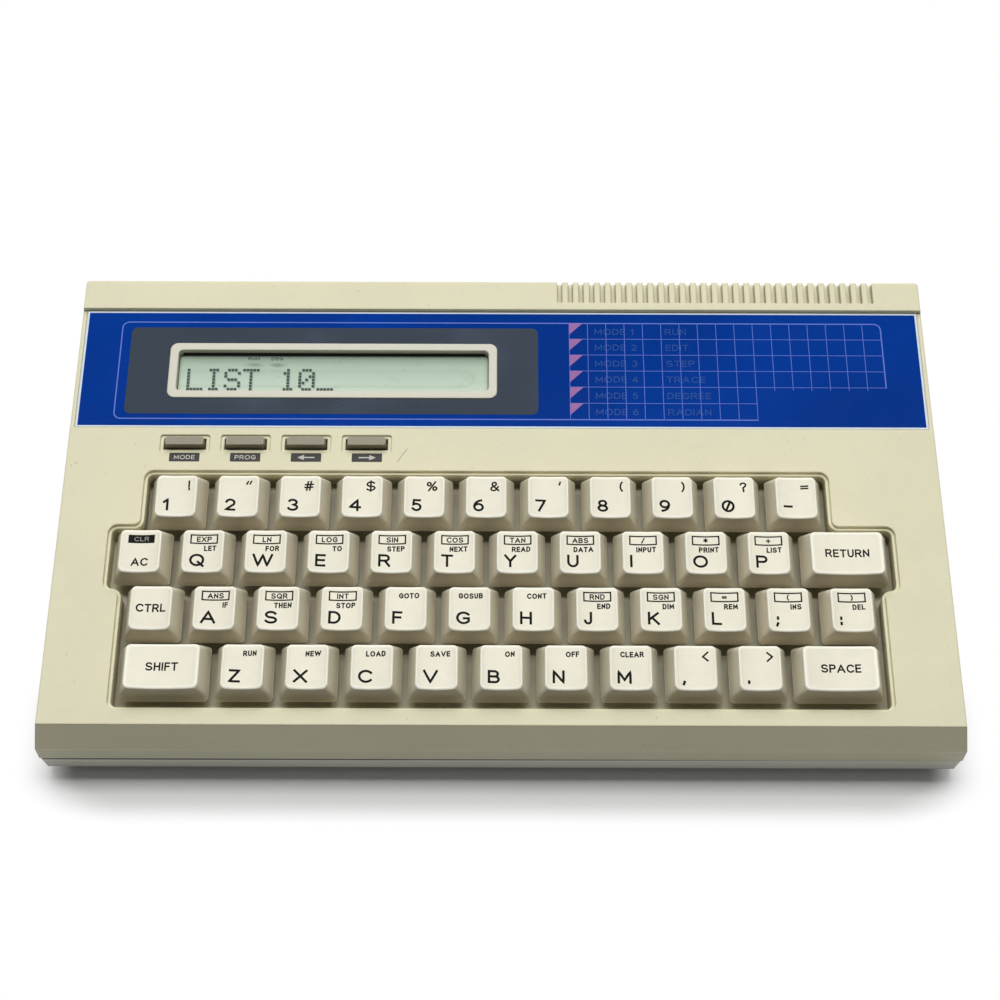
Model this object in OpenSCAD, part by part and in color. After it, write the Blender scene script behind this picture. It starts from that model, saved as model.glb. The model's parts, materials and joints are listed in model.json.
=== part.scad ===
// Home computer with a wedge case, a full keyboard of sliding keycaps and a one-line display.
// Millimetres. Most pieces are laid out in the deck frame: x to the right, y away from the user and
// z square to the deck, with z = 0 on the deck and y = 0 at the back edge of the first row's key tops.

/* [Case] */
// Width of the deck between its upper side edges
deck_w = 272.6; // [266:0.2:290]
// Slope of the deck towards the user, in degrees
tilt = 5; // [3.5:0.5:6.5]
// Border of the deck in front of the key well
front_border = 4.7; // [4:0.1:12]
// Strip of the deck behind the key well, where the function buttons are
button_strip = 15.45; // [15:0.05:22]
// Depth of the display bay, front to back
bay_d = 44.7; // [42:0.1:50]
// Depth of the hood behind the display bay
hood_d = 11.3; // [10:0.1:16]
// Rise of the hood above the deck
hood_rise = 0.4; // [0.3:0.1:1.5]
// Radius of the hood's back edge
hood_r = 1.2; // [0.5:0.1:2]
// Radius of the case's back corners
corner_r = 1.8; // [1:0.1:2.6]
// Drop of the display bay's side rims below the deck
bay_drop = 1.05; // [0.6:0.05:1.5]
// Height of the sloping apron round the deck
apron_h = 11; // [9:0.5:13]
// Outward slope of the apron's two ends, from top to bottom
apron_flare = 1.86; // [1:0.02:3]
// Outward slope of the apron's front, from top to bottom
front_flare = 3.4; // [2:0.1:4.5]
// Height of the upright skirt under the apron
skirt_h = 6; // [5.5:0.5:9]
// Inward slope of the skirt's two ends
skirt_tuck = 0.3; // [0.1:0.1:2]
// Wall of both case halves
wall = 2.2; // [1.8:0.1:2.6]
// Height of the lower case at the front, without its feet
tub_front_h = 7; // [6.5:0.1:10]
// Inward slope of the lower case's front and back
tub_tuck = 0.2; // [0.1:0.1:1.5]
// Width of the bevel under the lower case's two ends
tub_bevel = 1.2; // [0.8:0.1:4]
// Height of the four moulded feet
foot_h = 2; // [1.5:0.1:3]

/* [Keys] */
// Distance between neighbouring keys
pitch = 19.05; // [18.8:0.05:19.3]
// Gap between the feet of neighbouring keycaps, side to side
key_gap = 1.85; // [1.4:0.05:2.4]
// Gap between the feet of neighbouring keycaps, front to back
row_gap = 1.25; // [1:0.05:2]
// Height of a keycap
cap_h = 8; // [7:0.1:10]
// Height of the keycaps' tops above the deck
cap_rise = 5; // [4:0.1:6]
// Inward slope of a keycap's two sides
side_slope = 2.6; // [2:0.1:3.2]
// Inward slope of a keycap's front
front_slope = 1; // [0.6:0.1:2]
// Inward slope of a keycap's back
back_slope = 2.6; // [1.8:0.1:3.2]
// Depth of the dished top
dish = 0.8; // [0.3:0.1:1]
// Wall of a keycap
cap_wall = 1.3; // [1:0.1:1.6]
// Side of the square stem
stem_w = 5; // [4:0.1:5.6]
// How far a key goes down
key_travel = 3.5; // [2.5:0.1:3.8]

/* [Key well] */
// Gap from the outer keycaps to the well's sides
well_side_gap = 2.7; // [2:0.1:4]
// Gap from the first row to the well's back
well_back_gap = 1.8; // [1.6:0.1:4]
// Gap from the last row to the well's front
well_front_gap = 3.75; // [2.5:0.05:5]
// Gap behind the second row's overhanging ends
well_ear_back_gap = 1.75; // [1.6:0.05:3]
// Gap in front of the second row's overhanging ends
well_ear_front_gap = 3.05; // [2:0.05:4]
// Radius of the well's outer corners
well_r = 3; // [1.5:0.1:4]
// Width of the ledge round the well
ledge_w = 1; // [0.6:0.1:1.4]
// Depth of the ledge below the deck
ledge_drop = 1; // [0.6:0.1:1.6]

/* [Function buttons] */
// Width of a button's foot
button_w = 12.7; // [10:0.1:14]
// Depth of a button's foot, front to back
button_d = 3.4; // [3:0.1:4.2]
// Height of a button's top above the deck
button_rise = 2; // [1.4:0.1:2.6]
// How far a button goes down
button_travel = 1.2; // [0.8:0.1:1.3]
// Centre of the buttons behind the well's back edge
button_back = 9.7; // [9:0.1:12]
// Margin of the shallow recess round a button
recess_margin = 1.1; // [0.6:0.1:1.3]
// Depth of that recess
recess_drop = 0.5; // [0.3:0.1:0.8]

/* [Display] */
// Thickness of the clear panel
panel_t = 2; // [1.5:0.1:2.2]
// Height of the panel above the display bay's rims
panel_proud = 0.65; // [0.2:0.05:0.8]
// Width of the case's rim at each end of the panel
panel_rim = 1.1; // [0.8:0.1:2]
// Bevel round the panel's top
panel_bevel = 0.4; // [0.3:0.1:1]
// Shadow gap between the panel and the hood
hood_gap = 0.4; // [0.3:0.1:1]
// Height of the raised ring above the panel
ring_rise = 0.3; // [0.1:0.1:0.6]
// Width of the ring round the display
ring_w = 105.2; // [90:0.1:112]
// Depth of the ring, front to back
ring_d = 20.4; // [18:0.1:24]
// Distance of the ring's centre to the left of the middle
ring_left = 54.2; // [50:0.1:64]
// Distance of the ring's centre behind the deck's back edge
ring_back = 21.45; // [20:0.05:23]
// Side border of the ring
ring_side = 2.7; // [2:0.1:4]
// Front and back border of the ring
ring_end = 2.55; // [2:0.05:3.5]
// Depth of the liquid-crystal glass below the ring
glass_drop = 2.6; // [1.8:0.1:3]

/* [Hood vents] */
// Number of vent grooves
vent_n = 30; // [10:1:32]
// Distance between grooves
vent_pitch = 3.5; // [2.8:0.1:3.5]
// Width of a groove
vent_w = 1.6; // [1:0.1:2]
// Depth of a groove
vent_depth = 2.2; // [1:0.1:2.4]
// Left edge of the first groove, right of the middle
vent_x = 18; // [10:0.5:20]
// Width of the hood left uncut in front of the grooves
vent_front = 2.8; // [2:0.1:4]
// Radius of the ridges' ends between the grooves
ridge_r = 0.8; // [0.2:0.1:0.9]

/* [Inside] */
// Thickness of the circuit board
board_t = 1.6; // [1:0.1:2]
// Width of the circuit board
board_w = 238; // [232:1:240]
// Thickness of the dome sheet
mat_t = 1; // [0.8:0.1:1.4]
// Radius of a dome's foot
dome_r = 5; // [4.4:0.1:5.6]
// Diameter of a battery
cell_d = 14.2; // [13.8:0.1:14.5]
// Length of a battery
cell_l = 50; // [48:0.5:50.5]
// Thickness of the battery door
door_t = 2; // [1.6:0.1:2.4]
// How far the battery door slides back before it lifts off
door_travel = 30; // [10:1:34]
// Radius of a case screw
screw_r = 1.5; // [1.2:0.05:1.7]
// Radius of a board screw
pin_r = 1; // [0.8:0.05:1.2]

/* [Clearances] */
// Clearance round a stem, a button or another sliding piece
slide_gap = 0.3; // [0.2:0.05:0.45]
// Clearance round a piece that stays put
seat_gap = 0.15; // [0.1:0.05:0.3]
// Clearance round a screw's thread
thread_gap = 0.05; // [0.02:0.01:0.08]

/* [Hidden] */
$fn = 48;
ROWS = [
    ["1", "2", "3", "4", "5", "6", "7", "8", "9", "0", "minus"],
    ["ac", "q", "w", "e", "r", "t", "y", "u", "i", "o", "p", "return"],
    ["ctrl", "a", "s", "d", "f", "g", "h", "j", "k", "l", "semicolon", "colon"],
    ["shift", "z", "x", "c", "v", "b", "n", "m", "comma", "period", "space"]
];
// Left end of each row, in pitches from the middle
ROW_START = [-5.75, -6.25, -6, -6];
WIDE_KEYS = ["return", "shift", "space"];
WIDE_UNITS = 1.5;
BUTTONS = ["button_mode", "button_program", "button_left", "button_right"];

// Colours
cream = [0.86, 0.84, 0.71];
ivory = [0.93, 0.91, 0.83];
olive = [0.56, 0.54, 0.45];
board_green = [0.16, 0.36, 0.22];
panel_blue = [0.02, 0.2, 0.55];

// How far a cut runs past a face, and how far a rib or boss runs into what carries it
over = 1;
bite = 0.1;

// Levels below the deck
shell_h = apron_h + skirt_h;
well_air = 0.7;
floor_t = 1.8;
guide_rise = 1.8;
guide_drop = 2;
hook_h = 1;
hook_gap = 0.2;
hook_reach = 0.6;
hook_d = 3;
stem_tip = 0.4;
cap_foot = cap_rise - cap_h;
well_floor = cap_foot - key_travel - well_air;
well_under = well_floor - floor_t;
guide_top = well_floor + guide_rise;
guide_foot = well_under - guide_drop;
stem_foot = guide_foot - hook_gap - hook_h - stem_tip;
dome_gap = 0.1;
dome_wall = 0.8;
dome_foot_w = 1;
dome_slope = 1.2;
dome_skin = 0.7;
mat_margin = 1;
mat_gap = 0.5;
dome_h = key_travel + 0.8;
dome_top = stem_foot - dome_gap;
mat_top = dome_top - dome_h;
board_top = mat_top - mat_t;
board_foot = board_top - board_t;
panel_top = panel_proud - bay_drop;
pocket = panel_top - panel_t;
bay_under = pocket - wall;
hood_under = hood_rise - vent_depth - 1.4;
glass_top = panel_top + ring_rise - glass_drop;

// Places along the deck, front to back
key_d = pitch - row_gap;
function row_y(row) = back_slope - key_d / 2 - row * pitch;
well_back = row_y(0) + key_d / 2 + well_back_gap;
well_front = row_y(3) - key_d / 2 - well_front_gap;
ear_back = row_y(1) + key_d / 2 + well_ear_back_gap;
ear_front = row_y(1) - key_d / 2 - well_ear_front_gap;
deck_front = well_front - front_border;
deck_back = well_back + button_strip;
bay_back = deck_back + bay_d;
case_back = bay_back + hood_d;
case_front = deck_front - front_flare;
button_y = well_back + button_back;
ring_y = deck_back + ring_back;

// The skirt's front stands upright, so it leans in the deck frame
skirt_lean = skirt_h * tan(tilt);
skirt_front = case_front - skirt_lean;

// Half widths
half_w = deck_w / 2;
half_skirt = half_w + apron_flare;
half_part = half_skirt - skirt_tuck;

// The deck frame's place in the object's frame, which stands on the feet
function deck_dy(y, z) = y * cos(tilt) - z * sin(tilt);
function deck_dz(y, z) = y * sin(tilt) + z * cos(tilt);
deck_y0 = -(deck_dy(case_front, -apron_h) + deck_dy(case_back, -shell_h)) / 2;
deck_z0 = foot_h + tub_front_h - deck_dz(skirt_front, -shell_h);

// Lower case in the object's frame
seam = 0.3;
tub_edge = 0.5;
tub_front = deck_y0 + deck_dy(skirt_front + seam, -shell_h);
tub_back = deck_y0 + deck_dy(case_back - seam, -shell_h);
tub_front_top = deck_z0 + deck_dz(skirt_front + seam, -shell_h);
tub_back_top = deck_z0 + deck_dz(case_back - seam, -shell_h);
tub_half = half_part - seam;
tub_bevel_h = tub_front_h - 0.6;
tub_floor = foot_h + wall;
lip_w = 1;
lip_h = 1.5;
foot_r = 6;
foot_inset = 24;
foot_setback = 16;
foot_x = half_w - foot_inset;
foot_ys = [tub_front + foot_setback, tub_back - foot_setback];

// Stems and guides
guide_hole = stem_w + 2 * slide_gap;
guide_w = guide_hole + 2.4;

// Battery bay
plate_t = 0.5;
nub_h = 1.2;
nub_r = 2.7;
spring_l = 3;
cell_gap = 0.4;
bay_x = -6.5;
cell_play = 0.05;
bay_len = 2 * (cell_l + nub_h) + 3 * cell_play + 2 * plate_t + spring_l;
bay_deep = 2 * cell_d + 3 * cell_gap;
bay_wall = 1.5;
rail_w = 1.6;
rail_wall = rail_w + slide_gap + 1.2;
bay_y1 = tub_back - tub_tuck - wall - 0.5;
bay_y0 = bay_y1 - bay_deep;
bay_foot = foot_h + door_t + slide_gap;
cell_z = bay_foot + cell_gap + cell_d / 2;
bay_top = cell_z + cell_d / 2 + cell_gap;
rail_lip = 0.7;
grip_w = 28;
grip_d = 1.2;
grip_drop = 0.5;
grip_start = 15;
grip_pitch = 2.4;

// Board, screws and sockets; each chip is [x, y, length, depth]
CHIPS = [[-20, -3, 52, 14], [52, -3, 36, 14], [-78, -3, 32, 14], [96, -5, 24, 8], [-20, 13, 24, 8]];
chip_h = 3.4;
CAPACITORS = [[60, 13], [72, 13]];
capacitor_r = 4;
capacitor_h = 6;
board_front = deck_front + 3.7;
board_back = deck_back + 7.2;
wing_back = case_back - wall - lip_w - seat_gap - 2.4;
wing_left = bay_x - bay_len / 2 - rail_wall - 3.6;
wing_right = bay_x + bay_len / 2 + rail_wall + 3.6;
boss_r = 3.6;
boss_skirt = 0.6;
boss_x = half_w - 7.3;
boss_ys = [well_front + 7, row_y(0) + 3, bay_back - 4];
function boss_top(y) = y > deck_back ? bay_under : -wall;
screw_seat = -shell_h - 4.6;
screw_head_r = screw_r + 1.4;
screw_head_h = 1.6;
pin_head_h = 1.4;
screw_tip = -shell_h + 8;
pin_tip = well_under - 1.2;
post_r = 2.8;
post_xs = [-4.5 * pitch, -1.5 * pitch, 1.5 * pitch, 4.5 * pitch];
post_ys = [(row_y(0) + row_y(1)) / 2, (row_y(2) + row_y(3)) / 2];
board_clear = 1;
socket_rise = 6.4;
socket_z = board_top + socket_rise;
socket_d = 11;
socket_end = min(board_w / 2, boss_x - boss_r - 6.4);
socket_inset = 9;
audio_pitch = 12;
audio_xs = [socket_end - socket_inset - audio_pitch, socket_end - socket_inset];
audio_r = 3.2;
dc_pitch = 14;
dc_x = audio_xs[0] - dc_pitch;
dc_r = 4;
switch_pitch = 18;
switch_x = dc_x - switch_pitch;
switch_travel = 4;
switch_w = 4;
switch_h = 3;
switch_tongue = 2;
edge_w = 36;
edge_h = 8;
edge_inset = 7;
edge_x = edge_inset + edge_w / 2 - socket_end;
button_first = pitch * (ROW_START[0] + 0.5) + 0.4;
button_stem_w = 4;
button_stem_d = 2.6;
recess_r = 0.8;
lcd_plate_t = 1.6;
ribbon_w = 40;
ribbon_t = 0.5;
ring_r = 2.5;
window_r = 1.5;
stake_x = ring_w / 2 + 1.9;
stake_y = ring_d / 2 + 3.3;
stake_r = 1.2;
stake_foot = bay_under - 2 * lcd_plate_t - 1;

// Keys
cap_soft = 0.5;
cap_foot_r = 1.3;
cap_top_r = 1.8;
cap_rim_r = 1.5;
cap_roof = 1.6;
function is_wide(name) = len([for (wide = WIDE_KEYS) if (wide == name) name]) > 0;
function units(name) = is_wide(name) ? WIDE_UNITS : 1;
function units_before(row, i) = i == 0 ? 0 : units_before(row, i - 1) + units(ROWS[row][i - 1]);
function key_x(row, i) = pitch * (ROW_START[row] + units_before(row, i) + units(ROWS[row][i]) / 2);
function row_left(row) = pitch * ROW_START[row] + key_gap / 2 - well_side_gap;
function row_right(row) =
    pitch * (ROW_START[row] + units_before(row, len(ROWS[row]))) - key_gap / 2 + well_side_gap;

// ---------- Helpers ----------

// Puts what is laid out in the deck frame at its place on the standing object
module deck_frame() {
    translate([0, deck_y0, deck_z0]) rotate([tilt, 0, 0]) children();
}

// Rectangle between two corners, with round corners
module round_rect(x0, x1, y0, y1, r) {
    translate([x0 + r, y0]) square([x1 - x0 - 2 * r, y1 - y0]);
    translate([x0, y0 + r]) square([x1 - x0, y1 - y0 - 2 * r]);
    for (x = [x0 + r, x1 - r], y = [y0 + r, y1 - r]) translate([x, y]) circle(r);
}

// Outline given as [y, z] points, run along x
module along_x(x0, x1) {
    translate([x0, 0, 0]) rotate([90, 0, 90]) linear_extrude(x1 - x0) children();
}

// Outline given as [x, z] points, run along y
module along_y(y0, y1) {
    translate([0, y1, 0]) rotate([90, 0, 0]) linear_extrude(y1 - y0) children();
}

// Outline given as [x, y] points, run from one level to another
module between(z0, z1) {
    translate([0, 0, z0]) linear_extrude(z1 - z0) children();
}

// Box with sloping sides: w and d at the foot, inset on each side at the top
module tapered_box(w, d, side, front, back, z0, z1) {
    intersection() {
        along_y(-d / 2, d / 2)
            polygon([[-w / 2, z0], [w / 2, z0], [w / 2 - side, z1], [side - w / 2, z1]]);
        along_x(-w / 2, w / 2)
            polygon([[-d / 2, z0], [d / 2, z0], [d / 2 - back, z1], [front - d / 2, z1]]);
    }
}

module at_keys() {
    for (row = [0:len(ROWS) - 1], i = [0:len(ROWS[row]) - 1])
        translate([key_x(row, i), row_y(row), 0]) children();
}

module at_buttons() {
    for (i = [0:len(BUTTONS) - 1]) translate([button_first + i * pitch, button_y, 0]) children();
}

module at_bosses() {
    for (x = [-boss_x, boss_x], y = boss_ys) translate([x, y, 0]) children();
}

module at_posts() {
    for (x = post_xs, y = post_ys) translate([x, y, 0]) children();
}

module at_stakes() {
    for (x = [-stake_x, stake_x], y = [-stake_y, stake_y])
        translate([x - ring_left, ring_y + y, 0]) children();
}

// ---------- Upper case ----------

// Stepped outline of the key well, widest beside the second row
module well_outline(grow) {
    r = well_r + grow;
    inner_r = 2 - grow;
    round_rect(row_left(0) - grow, row_right(0) + grow, row_y(1), well_back + grow, r);
    round_rect(row_left(1) - grow, row_right(1) + grow, ear_front - grow, ear_back + grow, r);
    round_rect(row_left(2) - grow, row_right(2) + grow, well_front - grow, row_y(1), r);
    if (inner_r > 0.1) {
        for (corner = [
            [row_left(0) - grow, ear_back + grow, 1, 0], [row_right(0) + grow, ear_back + grow, 0, 0],
            [row_left(2) - grow, ear_front - grow, 1, 1], [row_right(2) + grow, ear_front - grow, 0, 1]
        ]) translate([corner[0], corner[1]]) mirror([corner[2], 0]) mirror([0, corner[3]]) difference() {
            translate([-over, -over]) square(inner_r + over);
            translate([inner_r, inner_r]) circle(inner_r);
        }
    }
}

// Profile of the upper case from front to back: apron, deck, display bay and hood
module shell_side_outline() {
    difference() {
        polygon([
            [deck_front, 0], [case_front, -apron_h], [skirt_front, -shell_h], [case_back, -shell_h],
            [case_back, hood_rise], [bay_back, hood_rise], [bay_back, -bay_drop],
            [deck_back, -bay_drop], [deck_back, 0]
        ]);
        translate([case_back - hood_r, hood_rise - hood_r]) difference() {
            square(hood_r + 1);
            circle(hood_r);
        }
    }
}

// Rounds the case's two back corners, above and below the crease
module back_corner_cuts() {
    slope = atan(apron_flare / apron_h);
    tuck = atan(skirt_tuck / skirt_h);
    for (side = [0, 1]) mirror([side, 0, 0]) {
        translate([half_w, case_back, 0]) rotate([0, -slope, 0])
            between(-apron_h / cos(slope), hood_rise + over) corner_cut();
        translate([half_skirt, case_back, -apron_h]) rotate([0, tuck, 0])
            between(-2 * skirt_h, 0) corner_cut();
    }
}

module corner_cut() {
    difference() {
        translate([-corner_r, -corner_r]) square(corner_r + 1);
        translate([-corner_r, -corner_r]) circle(corner_r);
    }
}

// Profile of the upper case from side to side, with the crease between apron and skirt
module shell_end_outline() {
    rise = 2 * hood_rise;
    polygon([
        [-half_part, -shell_h], [half_part, -shell_h], [half_skirt, -apron_h],
        [half_w - apron_flare * rise / apron_h, rise], [apron_flare * rise / apron_h - half_w, rise],
        [-half_skirt, -apron_h]
    ]);
}

// Space inside the upper case's walls
module shell_hollow() {
    below = shell_h + over;
    intersection() {
        along_x(-half_skirt, half_skirt) polygon([
            [deck_front + wall, -wall], [case_front + wall, -apron_h], [case_front + wall, -below],
            [case_back - wall, -below], [case_back - wall, hood_under], [bay_back + wall, hood_under],
            [bay_back + wall, bay_under], [deck_back - wall, bay_under], [deck_back - wall, -wall]
        ]);
        along_y(case_front, case_back) polygon([
            [wall - half_part, -below], [half_part - wall, -below], [half_part - wall, -shell_h],
            [half_skirt - wall, -apron_h], [half_w - wall, 0], [wall - half_w, 0],
            [wall - half_skirt, -apron_h], [wall - half_part, -shell_h]
        ]);
    }
}

module ring_outline(inset) {
    round_rect(-ring_left - ring_w / 2 + inset, ring_w / 2 - ring_left - inset,
        ring_y - ring_d / 2 + inset, ring_y + ring_d / 2 - inset, ring_r - inset);
}

module window_outline(inset) {
    round_rect(-ring_left - ring_w / 2 + ring_side + inset, ring_w / 2 - ring_left - ring_side - inset,
        ring_y - ring_d / 2 + ring_end + inset, ring_y + ring_d / 2 - ring_end - inset, window_r - inset);
}

// Chimney that guides one key's stem, above and below the well's floor
module guide_block() {
    translate([-guide_w / 2, -guide_w / 2, guide_foot]) cube([guide_w, guide_w, guide_top - guide_foot]);
}

module guide_cut() {
    translate([-guide_hole / 2, -guide_hole / 2, guide_foot - over])
        cube([guide_hole, guide_hole, guide_top - guide_foot + 2 * over]);
}

// Hole for one function button, with the shallow recess round it
module button_cut() {
    x = button_w / 2 + slide_gap;
    y = button_d / 2 + slide_gap;
    between(-wall - over, over) translate([-x, -y]) square([2 * x, 2 * y]);
    between(-recess_drop, over)
        round_rect(-x - recess_margin, x + recess_margin, -y - recess_margin, y + recess_margin, recess_r);
}

// One vent groove, open at the back, where the ridges beside it end in round corners
module vent_outline() {
    r = min(ridge_r, (vent_pitch - vent_w) / 2 - bite);
    back = hood_d - vent_front;
    square([vent_w, back + over]);
    difference() {
        translate([-r, back - r]) square([vent_w + 2 * r, r + over]);
        for (x = [-r, vent_w + r]) translate([x, back - r]) circle(r);
        for (x = [-r - over, vent_w + r]) translate([x, back - r - over]) square([over, 2 * over + r]);
    }
}

module vent_cuts() {
    for (i = [0:vent_n - 1])
        translate([vent_x + i * vent_pitch, bay_back + vent_front, 0])
            between(hood_rise - vent_depth, hood_rise + over) vent_outline();
}

// Openings in the case's back wall
module socket_cuts() {
    deep = wall + 2 * over;
    translate([0, case_back - wall - over, socket_z]) {
        translate([dc_x, 0, 0]) rotate([-90, 0, 0]) cylinder(r = dc_r, h = deep);
        for (x = audio_xs) translate([x, 0, 0]) rotate([-90, 0, 0]) cylinder(r = audio_r, h = deep);
        translate([switch_x - switch_w / 2 - slide_gap, 0, -switch_h / 2 - slide_gap])
            cube([switch_w + switch_travel + 2 * slide_gap, deep, switch_h + 2 * slide_gap]);
        translate([edge_x - edge_w / 2, 0, -edge_h / 2]) cube([edge_w, deep, edge_h]);
    }
}

// Stake of the display's board: shoulder, shank and the head melted over
module display_stake() {
    between(bay_under - lcd_plate_t, bay_under + bite) circle(stake_r + 1);
    between(stake_foot, bay_under) circle(stake_r);
    between(stake_foot, bay_under - 2 * lcd_plate_t) circle(stake_r + 0.8);
}

module upper_case() {
    color(cream) deck_frame() difference() {
        union() {
            difference() {
                intersection() {
                    along_x(-half_skirt, half_skirt) shell_side_outline();
                    along_y(skirt_front, case_back) shell_end_outline();
                }
                difference() {
                    shell_hollow();
                    between(well_under, 0) well_outline(wall - ledge_w);
                }
                between(well_floor, over) well_outline(-ledge_w);
                between(-ledge_drop, over) well_outline(0);
                between(pocket, over)
                    translate([panel_rim - half_w, deck_back]) square([deck_w - 2 * panel_rim, bay_d]);
            }
            between(pocket - bite, panel_top + ring_rise) ring_outline(0);
            at_keys() guide_block();
            for (x = [-boss_x, boss_x], y = boss_ys)
                translate([x, y, 0]) between(-shell_h, boss_top(y) + bite) circle(boss_r);
            at_posts() between(board_top, well_under + bite) circle(post_r);
            at_stakes() display_stake();
        }
        between(bay_under - over, over) window_outline(0);
        at_keys() guide_cut();
        at_buttons() button_cut();
        at_bosses() between(-shell_h - over, screw_tip + over) circle(screw_r + thread_gap);
        at_posts() between(board_top - over, pin_tip + thread_gap) circle(pin_r + thread_gap);
        back_corner_cuts();
        vent_cuts();
        socket_cuts();
    }
}

// ---------- Lower case ----------

// Profile of the lower case, whose front wall is thicker by the skirt's lean to carry the lip
module tub_side_outline(inset, rise) {
    foot = inset > 0 ? tub_floor : foot_h;
    edge = inset > 0 ? 0 : tub_edge;
    front = tub_front + (inset > 0 ? inset + skirt_lean + bite : 0);
    polygon([
        [front, tub_front_top + rise], [front + tub_tuck, foot + edge],
        [front + tub_tuck + edge, foot], [tub_back - tub_tuck - inset - edge, foot],
        [tub_back - tub_tuck - inset, foot + edge], [tub_back - inset, tub_back_top + rise]
    ]);
}

module tub_end_outline(inset) {
    foot = inset > 0 ? tub_floor : foot_h;
    start = tub_half - tub_bevel - inset + (inset > 0 ? tub_bevel * wall / tub_bevel_h : 0);
    knee = foot_h + tub_bevel_h;
    top = tub_back_top + over;
    polygon([
        [-start, foot], [start, foot], [tub_half - inset, knee], [tub_half - inset, top],
        [inset - tub_half, top], [inset - tub_half, knee]
    ]);
}

module tub_body(inset, rise) {
    intersection() {
        along_x(-half_skirt, half_skirt) tub_side_outline(inset, rise);
        along_y(tub_front, tub_back) tub_end_outline(inset);
    }
}

// Rounds the lower case's two back corners under those of the upper case
module tub_corner_cuts() {
    for (side = [0, 1]) mirror([side, 0, 0])
        translate([tub_half, tub_back, 0]) between(foot_h - over, tub_back_top + over) corner_cut();
}

// Tongue that stands inside the upper case's wall
module lip() {
    outer = wall + seat_gap;
    x = half_part - outer;
    y0 = case_front + outer;
    y1 = case_back - outer;
    deck_frame() between(-shell_h - lip_h, -shell_h + lip_h) difference() {
        translate([-x, y0]) square([2 * x, y1 - y0]);
        translate([lip_w - x, y0 + lip_w]) square([2 * (x - lip_w), y1 - y0 - 2 * lip_w]);
    }
}

module bay_block(grow_x, grow_y, z0, z1) {
    translate([bay_x - bay_len / 2 - grow_x, bay_y0 - grow_y, z0])
        cube([bay_len + 2 * grow_x, bay_deep + 2 * grow_y, z1 - z0]);
}

// Space that the battery door fills with its two tongues, or the door itself with a gap all round
module door_plate(gap) {
    front = bay_y0 - bay_wall / 2 + gap;
    length = tub_back + over - front;
    top = bay_foot - gap;
    translate([bay_x - bay_len / 2 + gap, front, foot_h - over])
        cube([bay_len - 2 * gap, length, top - foot_h + over]);
    translate([bay_x - bay_len / 2 - rail_w + gap, front, foot_h + rail_lip + gap])
        cube([bay_len + 2 * rail_w - 2 * gap, length, top - foot_h - rail_lip - gap]);
}

module lower_case() {
    color(cream) difference() {
        union() {
            difference() {
                tub_body(0, 0);
                tub_body(wall, over);
                tub_corner_cuts();
            }
            lip();
            intersection() {
                tub_body(0, 0);
                deck_frame() at_bosses() between(-3 * shell_h, -shell_h) circle(boss_r + boss_skirt);
            }
            bay_block(rail_wall, bay_wall, foot_h + wall / 2, bay_top + bay_wall);
            for (x = [-foot_x, foot_x], y = foot_ys)
                translate([x, y, 0]) cylinder(r = foot_r, h = foot_h + wall / 2);
        }
        bay_block(0, 0, foot_h, bay_top);
        door_plate(0);
        deck_frame() at_bosses() {
            between(screw_seat - over, -shell_h + over) circle(screw_r + slide_gap);
            between(-3 * shell_h, screw_seat) circle(screw_head_r + slide_gap);
        }
    }
}

// ---------- Display ----------

module display_panel() {
    w = half_w - panel_rim - seat_gap;
    front = deck_back + seat_gap;
    back = bay_back - hood_gap;
    color(panel_blue) deck_frame() difference() {
        intersection() {
            along_x(-w, w) polygon([
                [front, pocket], [back, pocket], [back, panel_top - panel_bevel],
                [back - panel_bevel, panel_top], [front + panel_bevel, panel_top],
                [front, panel_top - panel_bevel]
            ]);
            along_y(front, back) polygon([
                [-w, pocket], [w, pocket], [w, panel_top - panel_bevel], [w - panel_bevel, panel_top],
                [panel_bevel - w, panel_top], [-w, panel_top - panel_bevel]
            ]);
        }
        between(pocket - over, panel_top + over) ring_outline(-seat_gap);
    }
}

// Glass in the window, its bezel under the bay and its own small board
module lcd_module() {
    w = ring_w / 2 - 1;
    d = ring_d / 2 + 1;
    plate = bay_under - lcd_plate_t;
    glass_foot = bay_under - lcd_plate_t / 4;
    deck_frame() {
        color([0.72, 0.8, 0.72]) between(glass_foot, glass_top) window_outline(slide_gap);
        color("silver") difference() {
            translate([-ring_left - w, ring_y - d, plate]) cube([2 * w, 2 * d, lcd_plate_t]);
            between(glass_foot, bay_under + over) window_outline(slide_gap);
        }
        color(board_green) difference() {
            translate([-ring_left - stake_x - 2.5, ring_y - stake_y - 2.5, plate - lcd_plate_t])
                cube([2 * stake_x + 5, 2 * stake_y + 5, lcd_plate_t]);
            at_stakes() between(plate - lcd_plate_t - over, plate + over) circle(stake_r + seat_gap);
        }
    }
}

// ---------- Circuit board, dome sheet and power ----------

// Board with a wing at each side of the battery bay, notched where it would meet a boss
module board_outline() {
    w = board_w / 2;
    difference() {
        union() {
            translate([-w, board_front]) square([board_w, board_back - board_front]);
            translate([-w, board_front]) square([w + wing_left, wing_back - board_front]);
            translate([wing_right, board_front]) square([w - wing_right, wing_back - board_front]);
        }
        at_bosses() circle(boss_r + boss_skirt + board_clear);
    }
}

// Dual in-line package under the board
module chip(place) {
    translate([place[0] - place[2] / 2, place[1] - place[3] / 2, board_foot - chip_h])
        cube([place[2], place[3], chip_h]);
}

// Round socket on the board's back edge
module socket(x, w, h, bore) {
    translate([x - w / 2, wing_back - socket_d, board_top]) difference() {
        cube([w, socket_d, h]);
        translate([w / 2, 1.5, socket_z - board_top]) rotate([-90, 0, 0]) cylinder(r = bore, h = socket_d);
    }
}

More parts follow.
